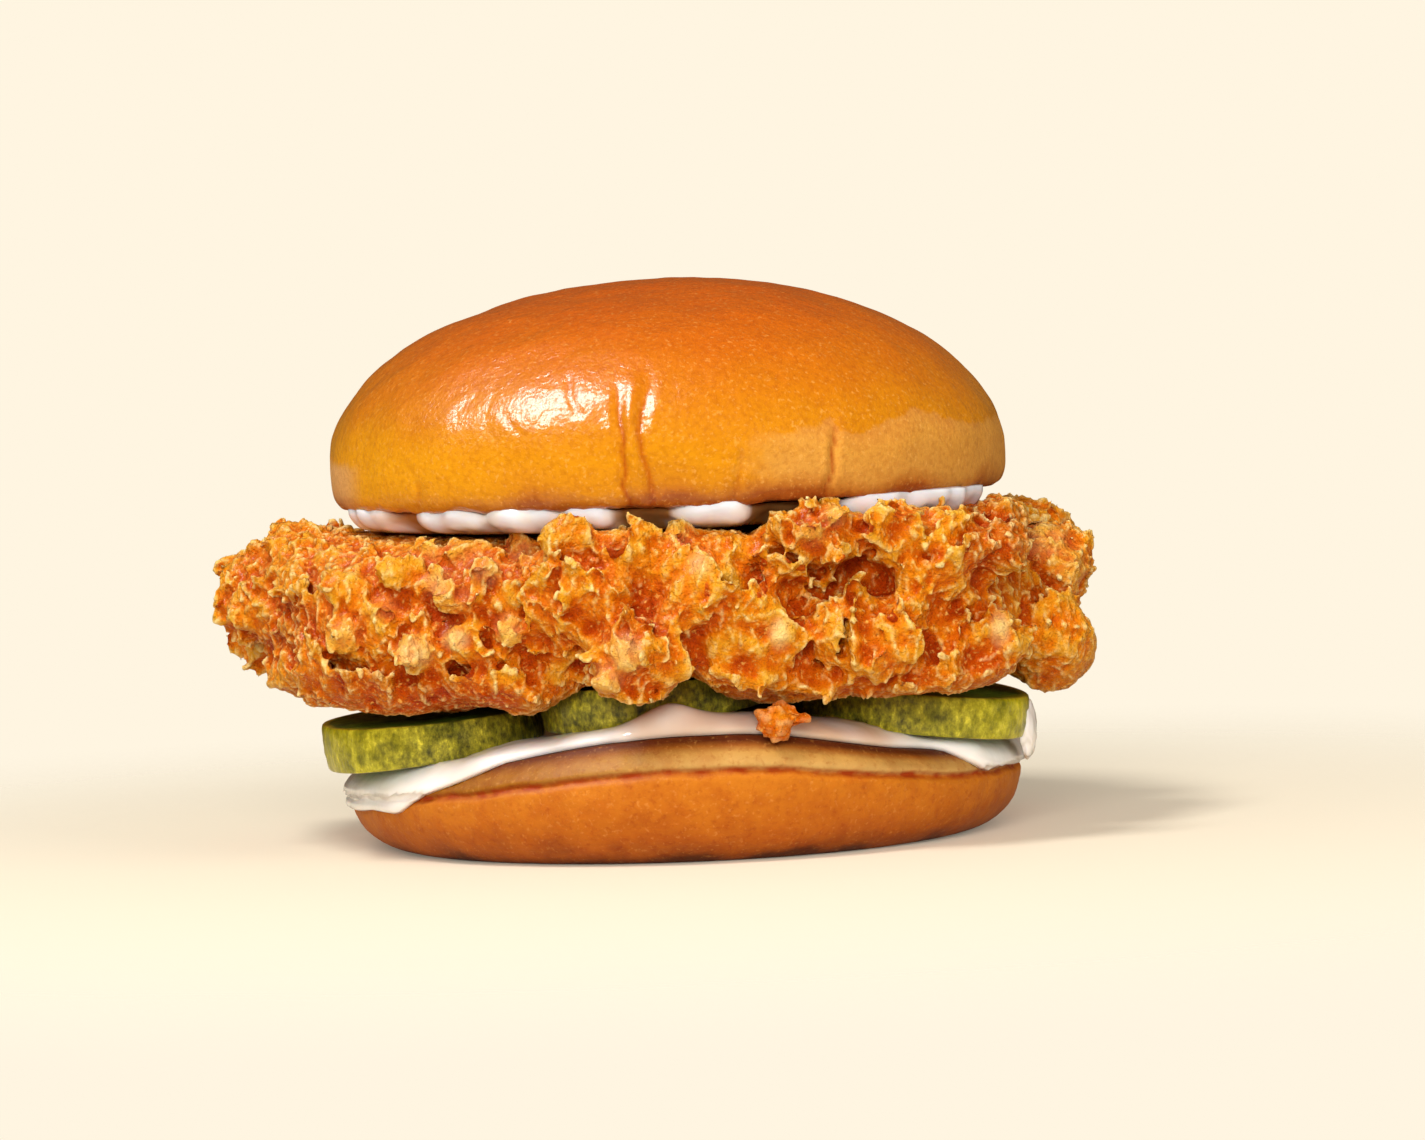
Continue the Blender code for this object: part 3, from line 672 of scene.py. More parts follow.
# Lobes of the upper mayonnaise that show below the crown, in mm: X, half width, how far out.
UPPER_LOBES = (
    (-46.5, 4.2, 4.4), (-33.5, 6.0, 4.4), (-22.0, 7.0, 4.0), (-12.0, 4.5, 4.2), (6.6, 6.5, 4.2),
    (32.0, 6.0, 4.6), (41.5, 7.5, 5.2),
)


def upper_lobe(azimuth):
    """How far the upper mayonnaise bulges out here, in mm."""
    if math.sin(azimuth) > 0.3:
        return 3.2 + 2.0 * wobble(around(azimuth, 1.0, 0.0), 0.20, 8.0)
    x = 50.5 * math.cos(azimuth)
    return max(out * math.exp(-(((x - middle) / half) ** 4)) for middle, half, out in UPPER_LOBES)


def upper_mayo_skin(azimuth, fall):
    """A disc against the crown's cut face whose rim bulges out in uneven lobes."""
    share = math.sin(fall * math.pi)
    lobe = upper_lobe(azimuth)
    rim = around(azimuth, 1.0, 0.0)
    ripple = wobble(rim, 0.07, 3.0) + wobble(rim, 0.15, 5.0)
    radius = UPPER_MAYO_RADIUS + (1.3 * lobe - 2.7 + ripple) * MM
    point = around(azimuth, radius * share, CROWN_BOTTOM - 0.00005)
    point.z += 0.0009 * smooth_step(0.0500, 0.0530, radius * share)
    edge = smooth_step(0.90, 0.98, share)
    depth = point.z - UPPER_MAYO_BOTTOM
    swell = 0.07 * lobe - 0.30 + 0.30 * wobble(rim, 0.10, 6.0) + 0.12 * wobble(point, 0.003, 6.0)
    depth *= 1 + edge * swell
    rounding = 1 - max(0.0, 1 - share**12) ** 0.5
    if fall < 0.5:
        point.z -= 0.12 * depth * rounding
    else:
        point.z -= depth * (1 - 0.80 * rounding)
        point.z += 0.0002 * wobble(point, 0.003, 3.0)
    point.x += CROWN_SHIFT_X
    return point


def make_upper_mayo():
    piece = skinned_sphere("mayonnaise_upper", 360, 90, upper_mayo_skin)
    # Painted shade, warm from the bread and crust, where the mayonnaise recedes between its lobes and
    # along its underside; its thick lobes are painted whitest, partly as painted light.
    thin, thick = [], []
    for vertex in piece.data.vertices:
        azimuth = math.atan2(vertex.co.y, vertex.co.x - CROWN_SHIFT_X)
        blob = upper_lobe(azimuth) + 1.6 * wobble(vertex.co, 0.0032, 2.0)
        lip = smooth_step(UPPER_MAYO_BOTTOM + 0.0010, UPPER_MAYO_BOTTOM, vertex.co.z)
        thin.append(max(smooth_step(3.0, 1.0, blob), 0.5 * lip))
        thick.append(smooth_step(2.6, 4.2, blob))
    paint(piece, "thin", thin, thick, 0.0)
    return piece


def make_lower_mayo():
    """It is a thin film round its mound and to the right of it, painted darker there: partly the
    heel showing through, partly painted shade under the fillet.
    """
    piece = skinned_sphere("mayonnaise_lower", 240, 90, lower_mayo_skin)
    points = points_of(piece.data)
    thin = [
        0.75 * smooth_step(-0.013, -0.004, x) * smooth_step(0.040, 0.026, x)
        * (0.75 + 0.5 * wobble((x, y, z), 0.006))
        for x, y, z in points
    ]
    paint(piece, "thin", thin, 0.0, 0.0)
    return piece


# Smears of mayonnaise on the skin of the slices: slice, direction and half width in degrees,
# height and half height in mm, thickness in mm.
SMEARS = (
    (2, -5.0, 13.0, 16.4, 4.7, 1.7),
)


def make_smear(place, number, direction, half_turn, height, half_height, thick):
    """A thin patch of mayonnaise, wrapped round the skin of a slice."""
    _, centre, radius = PICKLE_PLACES[number]
    smear = sphere("mayonnaise_smear_%d" % place, 60, 40)
    for vertex in smear.data.vertices:
        unit = vertex.co.copy()
        ragged = 1 + 0.25 * wobble(unit, 0.55, place + 3.0)
        azimuth = math.radians(direction + half_turn * unit.x * ragged)
        out = radius * 1.012 + (thick * max(-0.3, -unit.y) + 0.15 * wobble(unit, 0.3, place)) * MM
        top = (height + half_height * unit.z * ragged) * MM
        vertex.co = Vector((*centre, 0)) + around(azimuth, out, top)
    return smear


# The fried crust

# Folds of batter that the photograph shows from the front, in mm: how far the fold stands out,
# then its points in X and Z.
FOLDS = (
    (3.2, ((-59.3, 47.4), (-58.7, 45.8), (-58.2, 43.8), (-57.2, 42.2), (-55.8, 41.8), (-54.4, 42.4),
           (-53.2, 43.7), (-52.1, 46.0))),
    (3.4, ((-57.6, 40.1), (-57.1, 37.4), (-55.6, 35.5), (-53.7, 33.6), (-51.9, 31.7), (-49.5, 30.8),
           (-47.2, 29.5), (-44.1, 30.0))),
    (3.0, ((-38.1, 29.0), (-36.4, 29.6), (-34.6, 30.0), (-32.6, 30.6), (-31.2, 30.1), (-29.9, 29.2),
           (-28.5, 29.9), (-26.5, 30.4), (-24.6, 30.6))),
    (2.6, ((-53.7, 37.3), (-52.9, 39.1), (-51.3, 40.4), (-49.2, 41.1), (-48.1, 39.5), (-48.5, 37.0))),
    (2.4, ((-30.1, 38.4), (-29.9, 35.3), (-29.7, 33.0), (-29.1, 31.0))),
    (2.2, ((-47.9, 35.6), (-46.4, 37.1), (-44.5, 38.2), (-42.6, 38.8), (-42.0, 37.5))),
    (2.4, ((-62.9, 48.8), (-61.1, 48.1), (-59.2, 48.7), (-58.0, 49.8))),
    (2.4, ((-59.6, 32.6), (-57.8, 31.1), (-55.6, 29.8), (-53.8, 27.8))),
    (2.0, ((-47.7, 26.7), (-45.3, 27.7), (-42.8, 28.2), (-40.4, 27.8), (-37.7, 26.8))),
    (2.0, ((-34.9, 26.6), (-32.1, 27.7), (-28.7, 28.4), (-25.7, 27.4), (-22.7, 26.1))),
    (2.6, ((-43.3, 50.1), (-41.4, 50.6), (-39.5, 51.6), (-38.0, 52.4), (-36.6, 52.5))),
    (2.2, ((-31.4, 45.6), (-30.0, 44.6), (-29.4, 42.7), (-30.4, 41.2), (-31.9, 40.7))),
    (2.0, ((-35.7, 35.4), (-34.5, 37.1), (-33.0, 37.7), (-31.8, 36.4), (-32.5, 34.6))),
    (2.0, ((-41.5, 44.6), (-39.8, 45.5), (-38.0, 44.8), (-36.8, 43.2))),
    (2.0, ((-26.9, 42.7), (-25.4, 43.7), (-23.7, 42.9), (-24.0, 41.0))),
    (3.4, ((-22.4, 35.2), (-22.5, 37.9), (-22.1, 40.9), (-21.1, 43.5), (-19.4, 45.7), (-17.4, 46.0),
           (-15.0, 45.3), (-13.1, 44.4), (-11.2, 44.6), (-10.0, 45.9), (-8.0, 46.3))),
    (2.6, ((-11.4, 48.7), (-9.5, 49.2), (-8.0, 49.0), (-6.2, 48.3), (-4.3, 47.6))),
    (2.8, ((-7.1, 49.0), (-6.7, 51.3), (-5.9, 53.5), (-4.5, 54.9), (-3.0, 54.4), (-2.6, 52.3),
           (-2.9, 49.6))),
    (2.4, ((-18.1, 48.9), (-17.3, 51.6), (-16.4, 53.4), (-14.5, 53.5), (-13.1, 51.7), (-12.9, 49.1))),
    (2.0, ((-20.1, 37.0), (-18.4, 38.1), (-16.3, 37.7), (-14.6, 36.2), (-13.7, 34.3))),
    (1.8, ((-19.8, 33.6), (-17.9, 35.1), (-15.9, 34.4), (-14.4, 32.5))),
    (2.6, ((-11.3, 25.2), (-13.0, 27.4), (-14.0, 30.1), (-13.7, 32.5), (-12.5, 33.7))),
    (2.4, ((-9.7, 33.6), (-9.8, 35.7), (-9.0, 37.8), (-7.7, 39.1), (-6.6, 37.7), (-6.7, 35.9))),
    (2.2, ((-7.3, 35.0), (-6.3, 36.5), (-5.4, 37.2), (-5.0, 35.5), (-5.8, 33.8))),
    (2.4, ((-6.5, 32.1), (-4.9, 33.8), (-3.4, 34.3), (-2.3, 33.1), (-2.6, 31.3))),
    (2.4, ((-3.5, 35.7), (-2.1, 36.7), (-1.0, 34.7), (0.0, 32.9), (0.5, 30.5), (-0.1, 28.1),
           (-1.3, 26.6))),
    (2.2, ((-9.4, 27.5), (-7.4, 26.3), (-5.0, 25.9), (-2.8, 26.4))),
    (4.2, ((-1.7, 50.9), (-0.4, 49.5), (1.0, 48.4), (2.5, 47.4), (4.2, 45.8), (6.0, 43.6),
           (7.7, 42.1), (9.6, 41.1), (11.1, 40.9), (12.1, 42.2))),
    (2.6, ((-1.2, 48.4), (-1.0, 45.8), (-0.8, 43.6), (-0.5, 41.1), (0.7, 39.3))),
    (2.4, ((1.0, 39.3), (2.5, 40.4), (4.0, 39.5), (5.8, 40.3))),
    (3.0, ((14.2, 39.4), (14.7, 37.6), (15.6, 36.0), (16.9, 35.1), (18.1, 35.0), (17.7, 33.2),
           (16.9, 31.5))),
    (1.6, ((3.2, 34.4), (5.7, 36.1), (8.4, 36.3), (11.0, 35.0), (13.1, 33.1))),
    (1.8, ((2.1, 28.9), (4.8, 30.0), (7.8, 29.3), (10.8, 28.0), (14.4, 28.4))),
    (3.2, ((10.1, 49.0), (11.3, 51.1), (12.7, 52.9), (14.6, 54.3), (16.4, 55.4), (18.5, 55.2),
           (20.0, 53.6), (21.8, 52.8), (24.8, 53.3), (27.8, 52.6))),
    (3.4, ((11.9, 45.8), (13.3, 47.1), (15.2, 47.4), (17.3, 47.2), (19.2, 45.8), (20.3, 43.6),
           (20.3, 41.5))),
    (2.8, ((12.1, 43.0), (13.5, 44.1), (15.5, 43.3), (17.0, 41.3), (18.2, 39.7))),
    (2.2, ((13.5, 49.6), (14.8, 51.2), (16.3, 52.0), (17.5, 50.5))),
    (3.4, ((27.8, 48.5), (29.0, 49.6), (30.3, 51.2), (32.2, 51.9), (34.1, 51.7))),
    (3.2, ((29.2, 44.7), (29.7, 47.1), (31.1, 47.5), (32.6, 47.6), (34.8, 48.4))),
    (3.4, ((35.3, 52.3), (36.0, 50.5), (36.4, 48.6), (37.5, 47.4))),
    (3.6, ((38.7, 46.4), (40.0, 48.5), (41.3, 50.3), (43.6, 51.1))),
    (3.0, ((39.6, 44.5), (41.8, 46.2), (44.3, 47.0), (46.8, 47.5), (47.3, 46.0))),
    (3.0, ((47.4, 45.9), (48.9, 44.6), (50.4, 43.0), (52.2, 41.4))),
    (2.2, ((33.3, 42.2), (35.8, 43.3), (38.5, 43.8), (41.3, 43.7))),
    (2.0, ((32.6, 39.4), (35.1, 40.9), (38.1, 41.4), (40.8, 40.9))),
    (2.6, ((34.4, 39.7), (35.9, 38.7), (37.4, 37.7), (38.6, 37.2), (40.3, 37.9))),
    (2.2, ((43.7, 39.7), (45.8, 38.7), (48.2, 37.4))),
    (3.4, ((26.2, 38.1), (25.4, 36.6), (25.0, 34.8), (25.0, 32.7), (24.4, 30.9), (24.4, 29.1))),
    (3.2, ((29.8, 33.7), (30.5, 35.7), (32.4, 36.9), (34.1, 35.9), (35.3, 33.7), (35.5, 31.3),
           (34.5, 28.9))),
    (2.2, ((28.1, 28.2), (28.8, 30.0), (30.1, 31.5), (30.6, 29.6))),
    (2.6, ((31.3, 25.3), (32.6, 26.8), (34.1, 27.4), (35.0, 25.8))),
    (3.4, ((49.0, 29.0), (50.0, 30.5), (50.8, 32.3), (52.1, 33.2), (52.8, 31.9), (51.7, 30.1))),
    (2.0, ((38.1, 28.0), (39.9, 29.2), (42.1, 29.7), (43.9, 28.4))),
    (2.0, ((44.6, 26.3), (46.5, 27.4), (48.3, 26.7), (49.5, 24.8))),
    (2.0, ((39.5, 33.8), (41.7, 34.9), (44.1, 34.5), (46.2, 32.9))),
    (2.4, ((54.1, 34.3), (55.4, 35.5), (57.0, 36.4), (58.9, 36.9), (60.8, 36.5), (62.3, 35.1))),
    (2.0, ((56.2, 45.8), (57.8, 47.0), (59.7, 47.3), (61.3, 45.9))),
    (2.0, ((57.1, 41.6), (59.0, 42.5), (61.2, 42.1), (62.8, 40.4))),
)

# Places that stay smoother: X, Z and the half sizes, in mm, on the shown side.
SMOOTH_PLACES = ((9.0, 33.5, 8.0, 5.5), (58.5, 29.5, 7.5, 7.5), (4.0, 44.0, 4.5, 4.0))


def in_smooth_place(point):
    if point.y > 0:
        return False
    x, z = point.x / MM, point.z / MM
    return any(math.hypot((x - px) / rx, (z - pz) / rz) < 1.0 for px, pz, rx, rz in SMOOTH_PLACES)


class Clay:
    """Loose closed shapes gathered into one mesh, to be fused into a single skin."""

    def __init__(self):
        self.points = []
        self.faces = []

    def add(self, points, faces):
        start = len(self.points)
        self.points.extend(points)
        self.faces.extend(tuple(corner + start for corner in face) for face in faces)

    def add_mesh(self, mesh):
        self.add([tuple(v.co) for v in mesh.vertices], [tuple(f.vertices) for f in mesh.polygons])

    def piece(self, name):
        mesh = bpy.data.meshes.new(name)
        mesh.from_pydata(self.points, [], self.faces)
        made = bpy.data.objects.new(name, mesh)
        bpy.context.scene.collection.objects.link(made)
        return made


def add_slab(clay, front, back):
    """A closed sheet between two grids of points."""
    rows, columns = len(front), len(front[0])
    size = rows * columns
    faces = []
    for row in range(rows - 1):
        for column in range(columns - 1):
            a = row * columns + column
            faces.append((a, a + 1, a + columns + 1, a + columns))
            faces.append((size + a, size + a + columns, size + a + columns + 1, size + a + 1))
    rim = list(range(columns))
    rim += [row * columns + columns - 1 for row in range(1, rows)]
    rim += [(rows - 1) * columns + column for column in range(columns - 2, -1, -1)]
    rim += [row * columns for row in range(rows - 2, 0, -1)]
    for here, there in zip(rim, rim[1:] + rim[:1]):
        faces.append((here, size + here, size + there, there))
    clay.add([tuple(point) for row in front + back for point in row], faces)


def add_flake(clay, root, normal, toward, width, length, lift, curl, seed):
    """A thin curled scale of batter, held at its root and ragged along its free edge."""
    across = normal.cross(toward).normalized()
    rows, columns = 6, 8
    place = root - normal * 0.0007
    front, back = [], []
    for row in range(rows):
        share = row / (rows - 1)
        angle = lift + curl * share
        step = toward * math.cos(angle) + normal * math.sin(angle)
        facing = normal * math.cos(angle) - toward * math.sin(angle)
        if row:
            place = place + step * (length / (rows - 1))
        thick = (0.0010 - 0.00042 * share) / 2
        upper, lower = [], []
        for column in range(columns):
            side = column / (columns - 1) * 2 - 1
            reach = width / 2 * side * (0.65 + 0.5 * share)
            point = place + across * reach
            notch = wobble(point, 0.0011, seed) + 0.8 * wobble(point, 0.0023, seed + 3.0)
            point += step * length * share * (0.18 * notch - 0.38 * side * side)
            fold = 0.00042 * wobble(point, 0.0013, seed + 6.0) + 0.00030 * math.sin(4.2 * side + seed)
            point += facing * (fold * (0.3 + 0.7 * share) - 0.16 * width * side * side)
            upper.append(point + facing * thick)
            lower.append(point - facing * thick)
        front.append(upper)
        back.append(lower)
    add_slab(clay, front, back)


def resample(line, step):
    """Points of a smooth line through these, about a step apart."""
    made = []
    for number in range(len(line) - 1):
        start, end = Vector(line[number]), Vector(line[number + 1])
        count = max(1, round((end - start).length / step))
        made.extend(start.lerp(end, k / count) for k in range(count))
    made.append(Vector(line[-1]))
    for _ in range(2):
        made = [made[0]] + [(a + b * 2 + c) / 4 for a, b, c in zip(made, made[1:], made[2:])] + [made[-1]]
    return made


def add_sheet(clay, tree, roots, normals, out, seed):
    """A crumpled sheet whose free lip runs along the roots, standing off the crust. It slopes
    back to the crust on the right hand of the line, and overhangs a little on the left."""
    count = len(roots)
    rows = 7
    grid_front = [[] for _ in range(rows)]
    grid_back = [[] for _ in range(rows)]
    for number in range(count):
        run = (roots[min(count - 1, number + 1)] - roots[max(0, number - 1)]).normalized()
        normal = normals[number]
        down = run.cross(normal).normalized()
        ends = max(0.0, math.sin(math.pi * number / (count - 1))) ** 0.4
        ragged = 0.85 + lumps(roots[number], ((0.22, 0.0032, seed), (0.22, 0.0013, seed)))
        tall = out * (0.35 + 0.65 * ends) * ragged
        lip = roots[number] + normal * tall - down * tall * 0.30
        foot, facing, _, _ = tree.find_nearest(roots[number] + down * (1.7 * out + 0.0012))
        foot = foot - facing * 0.0006
        for row in range(rows):
            share = row / (rows - 1)
            point = lip.lerp(foot, share)
            slope = (normal + down * 0.5).normalized()
            point += slope * (0.22 * out * math.sin(math.pi * share))
            folds = ((0.00075, 0.0026, seed + 4.0), (0.00045, 0.0012, seed + 9.0))
            point += slope * lumps(point, folds)
            thick = 0.00032 + 0.00030 * share
            grid_front[row].append(point + slope * thick)
            grid_back[row].append(point - slope * thick)
    add_slab(clay, grid_front, grid_back)


IN_FRONT_Y = -0.12


def seen_from_front(tree, x, z):
    """The point of the fillet that shows at this X and Z, in mm, and its normal."""
    return tree.ray_cast(Vector((x * MM, IN_FRONT_Y, z * MM)), Vector((0, 1, 0)))[:2]


def add_shown_folds(clay, tree):
    for number, (out, line) in enumerate(FOLDS):
        points, normals = [], []
        for x, z in resample(line, 0.6):
            hit, normal = seen_from_front(tree, x, z)
            if hit is None or (points and (hit - points[-1]).length > 0.006):
                continue
            points.append(hit)
            normals.append((normal + Vector((0, -0.9, 0.15))).normalized())
        if len(points) > 3:
            add_sheet(clay, tree, points, normals, out * MM, number * 1.3)


# Knobs of batter that stand out on the shown side, in mm: X, Z, half width, half height, and how
# pale they are.
KNOBS = (
    (-41.2, 50.3, 3.2, 1.4, 0.0), (-38.0, 48.6, 1.8, 1.5, 0.1), (-32.0, 48.3, 3.4, 1.8, 0.1),
    (-23.8, 48.6, 2.2, 1.8, 0.2), (-17.4, 50.0, 2.6, 2.6, 0.0), (-40.4, 33.8, 2.4, 2.3, 0.75),
    (-34.0, 35.6, 1.8, 1.6, 0.7), (-45.4, 40.3, 2.5, 2.0, 0.1), (-33.8, 41.6, 2.8, 2.2, 0.1),
    (-51.5, 36.5, 2.7, 3.0, 0.15), (-57.0, 51.0, 4.2, 2.4, 0.0), (-48.0, 49.6, 3.4, 2.0, 0.0),
    (-29.0, 45.5, 2.0, 1.8, 0.3), (-36.5, 44.0, 2.0, 1.8, 0.4), (-26.0, 36.8, 1.8, 2.4, 0.3),
    (-8.0, 33.0, 2.2, 3.0, 0.5), (-11.0, 29.5, 2.2, 2.2, 0.3), (3.4, 46.0, 1.6, 1.6, 0.5),
    (0.5, 50.6, 2.2, 2.2, 0.1), (20.5, 49.5, 2.2, 1.6, 0.1), (24.0, 52.2, 1.6, 1.4, 0.3),
    (15.0, 35.0, 1.3, 2.4, 0.8), (48.8, 33.6, 1.2, 2.6, 0.8), (44.8, 37.2, 2.0, 1.8, 0.0),
    (58.0, 46.5, 4.4, 4.0, 0.2), (62.0, 41.0, 3.4, 3.4, 0.1), (52.5, 47.0, 2.6, 2.2, 0.0),
)


def add_knobs(clay, tree):
    for number, (x, z, half_x, half_z, _) in enumerate(KNOBS):
        hit, normal = seen_from_front(tree, x, z)
        if hit is None or hit.y > -0.030:
            hit, normal, _, _ = tree.find_nearest(Vector((x * MM, -0.050, z * MM)))
        ball = sphere("knob", 20, 14)
        half = Vector((half_x, 0.9 * min(half_x, half_z) + 0.4, half_z)) * MM
        centre = hit + normal * half.y * 0.35
        points = []
        for vertex in ball.data.vertices:
            unit = vertex.co
            rough = 1 + lumps(unit, ((0.34, 0.55, number * 2.1), (0.22, 0.28, number * 3.3)))
            points.append(tuple(centre[k] + unit[k] * half[k] * rough for k in range(3)))
        clay.add(points, [tuple(f.vertices) for f in ball.data.polygons])
        bpy.data.objects.remove(ball)


def paled(point):
    """How dry and pale the crust is here, on the knobs that the photograph shows pale."""
    if point.y > -0.01:
        return 0.0
    x, z = point.x / MM, point.z / MM
    best = 0.0
    for middle_x, middle_z, half_x, half_z, pale in KNOBS:
        if pale > 0:
            off = math.hypot((x - middle_x) / (half_x + 0.6), (z - middle_z) / (half_z + 0.6))
            best = max(best, 0.75 * pale * smooth_step(1.15, 0.3, off))
    return best


def on_open_side(point, normal):
    """Whether the crust shows here, past the bun or between its halves."""
    reach = math.hypot(point.x, point.y)
    return (reach > 0.0530 and normal.z > -0.85) or (reach > 0.043 and -0.75 < normal.z < 0.95)


def spread_roots(mesh, spacing, seed, allow, most=70000):
    """Points of a mesh that keep this distance from each other, with their normals."""
    draw = random.Random(seed)
    order = list(range(len(mesh.vertices)))
    order = draw.sample(order, min(most, len(order)))
    cells, taken = {}, []
    for number in order:
        point, normal = mesh.vertices[number].co, mesh.vertices[number].normal
        if not allow(point, normal):
            continue
        cell = tuple(int(math.floor(c / spacing)) for c in point)
        near = any(
            (other - point).length < spacing
            for dx in (-1, 0, 1)
            for dy in (-1, 0, 1)
            for dz in (-1, 0, 1)
            for other in cells.get((cell[0] + dx, cell[1] + dy, cell[2] + dz), ())
        )
        if not near:
            cells.setdefault(cell, []).append(point.copy())
            taken.append((point.copy(), normal.copy()))
    return taken


def add_flakes(clay, mesh, spacing, seed, sizes, allow):
    """Scales of batter that overlap all over the open sides, with their free edges outwards."""
    draw = random.Random(seed)
    for number, (root, normal) in enumerate(spread_roots(mesh, spacing, seed, allow)):
        pull = Vector((root.x * 6.0, root.y * 3.0, (root.z - 0.036) * 12.0))
        pull += Vector((draw.uniform(-1, 1), draw.uniform(-1, 1), draw.uniform(-1, 1))) * 0.45
        toward = pull - normal * pull.dot(normal)
        if toward.length < 0.001:
            toward = normal.orthogonal()
        width = draw.uniform(*sizes) * MM * (1 - 0.35 * smooth_step(0.030, 0.024, root.z))
        length = width * draw.uniform(0.50, 0.85)
        lift, curl = draw.uniform(0.30, 1.15), draw.uniform(-0.5, 0.9)
        toward = toward.normalized()
        add_flake(clay, root, normal, toward, width, length, lift, curl, number * 0.7 + seed)


def add_crumbs(clay, mesh, spacing, seed, sizes, allow):
    """Small grains of dry flour crust."""
    draw = random.Random(seed)
    ball = sphere("grain", 8, 6)
    shape = [Vector(v.co) for v in ball.data.vertices]
    faces = [tuple(f.vertices) for f in ball.data.polygons]
    bpy.data.objects.remove(ball)
    for root, normal in spread_roots(mesh, spacing, seed, allow):
        size = draw.uniform(*sizes) * MM
        stretch = Vector((draw.uniform(0.7, 1.3), draw.uniform(0.7, 1.3), draw.uniform(0.7, 1.3)))
        seed_here = draw.uniform(0, 50)
        centre = root + normal * size * 0.45
        points = []
        for unit in shape:
            rough = 1 + 0.45 * wobble(unit, 0.6, seed_here)
            points.append(tuple(centre + Vector(unit[k] * stretch[k] * size * rough for k in range(3))))
        clay.add(points, faces)


def smoothed(points, edges, rounds):
    """Each point moved towards the middle of its neighbours, this many times."""
    first, second = edges[:, 0], edges[:, 1]
    degree = np.bincount(first, minlength=len(points)) + np.bincount(second, minlength=len(points))
    degree = np.maximum(degree, 1)[:, None]
    moved = points.copy()
    for _ in range(rounds):
        total = np.stack(
            [
                np.bincount(first, moved[second, axis], len(points))
                + np.bincount(second, moved[first, axis], len(points))
                for axis in range(3)
            ],
            axis=1,
        )
        moved = 0.3 * moved + 0.7 * total / degree
    return moved


def keep_large_shells(piece, least):
    """Drops loose scraps and sealed hollows that fusing leaves."""
    edges = edges_of(piece.data)
    label = np.arange(len(piece.data.vertices))
    while True:
        low = np.minimum(label[edges[:, 0]], label[edges[:, 1]])
        fresh = label.copy()
        np.minimum.at(fresh, edges[:, 0], low)
        np.minimum.at(fresh, edges[:, 1], low)
        fresh = fresh[fresh]
        if (fresh == label).all():
            break
        label = fresh
    names, counts = np.unique(label, return_counts=True)
    small = np.isin(label, names[counts < least])
    if small.any():
        with editing(piece):
            bpy.ops.mesh.select_mode(type="VERT")
        piece.data.vertices.foreach_set("select", small)
        with editing(piece):
            bpy.ops.mesh.delete(type="VERT")


MERGE_DISTANCE = 0.00001


def copy_of_node(node, name):
    """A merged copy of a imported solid, in the bun's own frame."""
    piece = bpy.data.objects.new(name, frame["nodes"][node].data.copy())
    bpy.context.scene.collection.objects.link(piece)
    piece.data.transform(Matrix.Translation(-BUN_PLACE))
    with editing(piece):
        bpy.ops.mesh.select_all(action="SELECT")
        bpy.ops.mesh.remove_doubles(threshold=MERGE_DISTANCE)
    return piece


def crumbly(point):
    """1 where the crust is all small scales and grains, 0 where it hangs in larger sheets."""
    x = point.x / MM
    share = max(smooth_step(-14.0, -26.0, x), 0.35 * smooth_step(44.0, 52.0, x))
    return max(share, 0.7 * smooth_step(0.0, 0.01, point.y))


def grain_place(point, normal):
    if not on_open_side(point, normal):
        return False
    if point.z < 0.030:
        return False
    calm = 0.45 if in_smooth_place(point) else 0.0
    dusty = 0.25 * crumbly(point) + 0.35 * smooth_step(44.0, 50.0, point.x / MM)
    return wobble(point, 0.007, 31.0) > 0.22 - dusty + calm


def small_place(point, normal):
    if not on_open_side(point, normal) or in_smooth_place(point):
        return False
    round_end = 0.45 * smooth_step(44.0, 52.0, point.x / MM)
    return wobble(point, 0.009, 12.0) > 0.05 - 0.65 * crumbly(point) + round_end


def large_place(point, normal):
    if not on_open_side(point, normal) or in_smooth_place(point) or point.x > 0.050:
        return False
    return crumbly(point) < 0.85 + 0.8 * wobble(point, 0.012, 17.0)


# Folds that crumple the finished crust: their size, how far they stand out, and how much finer
# the next ones on them are.
CRUMPLES = ((0.0036, 0.00060, 2.1), (0.0015, 0.00028, 2.2))
CRUMPLE_MIDDLE = 1.1
CRUMPLE_WARP = 0.0026
CRUMPLE_STRETCH = (1.0, 1.0, 0.55)


def roughen(mesh):
    """Crumples the skin into long wandering folds with crisp crests, and finer ones on them."""
    points = smoothed(points_of(mesh), edges_of(mesh), 1)
    put_points(mesh, points)
    normals = normals_of(mesh)
    bend = np.stack([noises(points, 0.0070, seed) for seed in (2.0, 5.0, 8.0)], axis=1)
    warped = (points + CRUMPLE_WARP * bend) * CRUMPLE_STRETCH
    amount = np.zeros(len(points))
    for size, height, finer in CRUMPLES:
        crests = [noise.ridged_multi_fractal(Vector(p) / size, 0.9, finer, 2, 1.0, 2.0) for p in warped]
        amount += height * (np.array(crests) - CRUMPLE_MIDDLE)
    put_points(mesh, points + normals * amount[:, None])


# How far round a point its surroundings reach, in rounds of smoothing, and what counts as an edge
# and as a crevice, in metres off them.
NEAR_ROUNDS, WIDE_ROUNDS = 4, 90
EDGE_START, EDGE_RANGE = 0.00004, 0.00020
CREVICE_RANGE = 0.0023


def crust_marks(mesh):
    """How deep in a crevice and how close to a crisp edge each point is."""
    points, normals, edges = points_of(mesh), normals_of(mesh), edges_of(mesh)
    near = smoothed(points, edges, NEAR_ROUNDS)
    wide = smoothed(points, edges, WIDE_ROUNDS)
    proud = ((points - near) * normals).sum(1)
    high = ((points - wide) * normals).sum(1)
    edge = np.clip((proud - EDGE_START) / EDGE_RANGE, 0, 1)
    depth = np.clip(0.5 - high / CREVICE_RANGE, 0, 1)
    return depth, edge


# The grain of the skin each time that batter is fused to the fillet, and of the loose scrap.
BASE_GRAIN = 0.0008
BODY_GRAIN = 0.0006
CRUST_GRAIN = 0.00037
SCRAP_GRAIN = 0.00035
LEAST_SHELL = 4000
CRUST_TRIANGLES = 185000

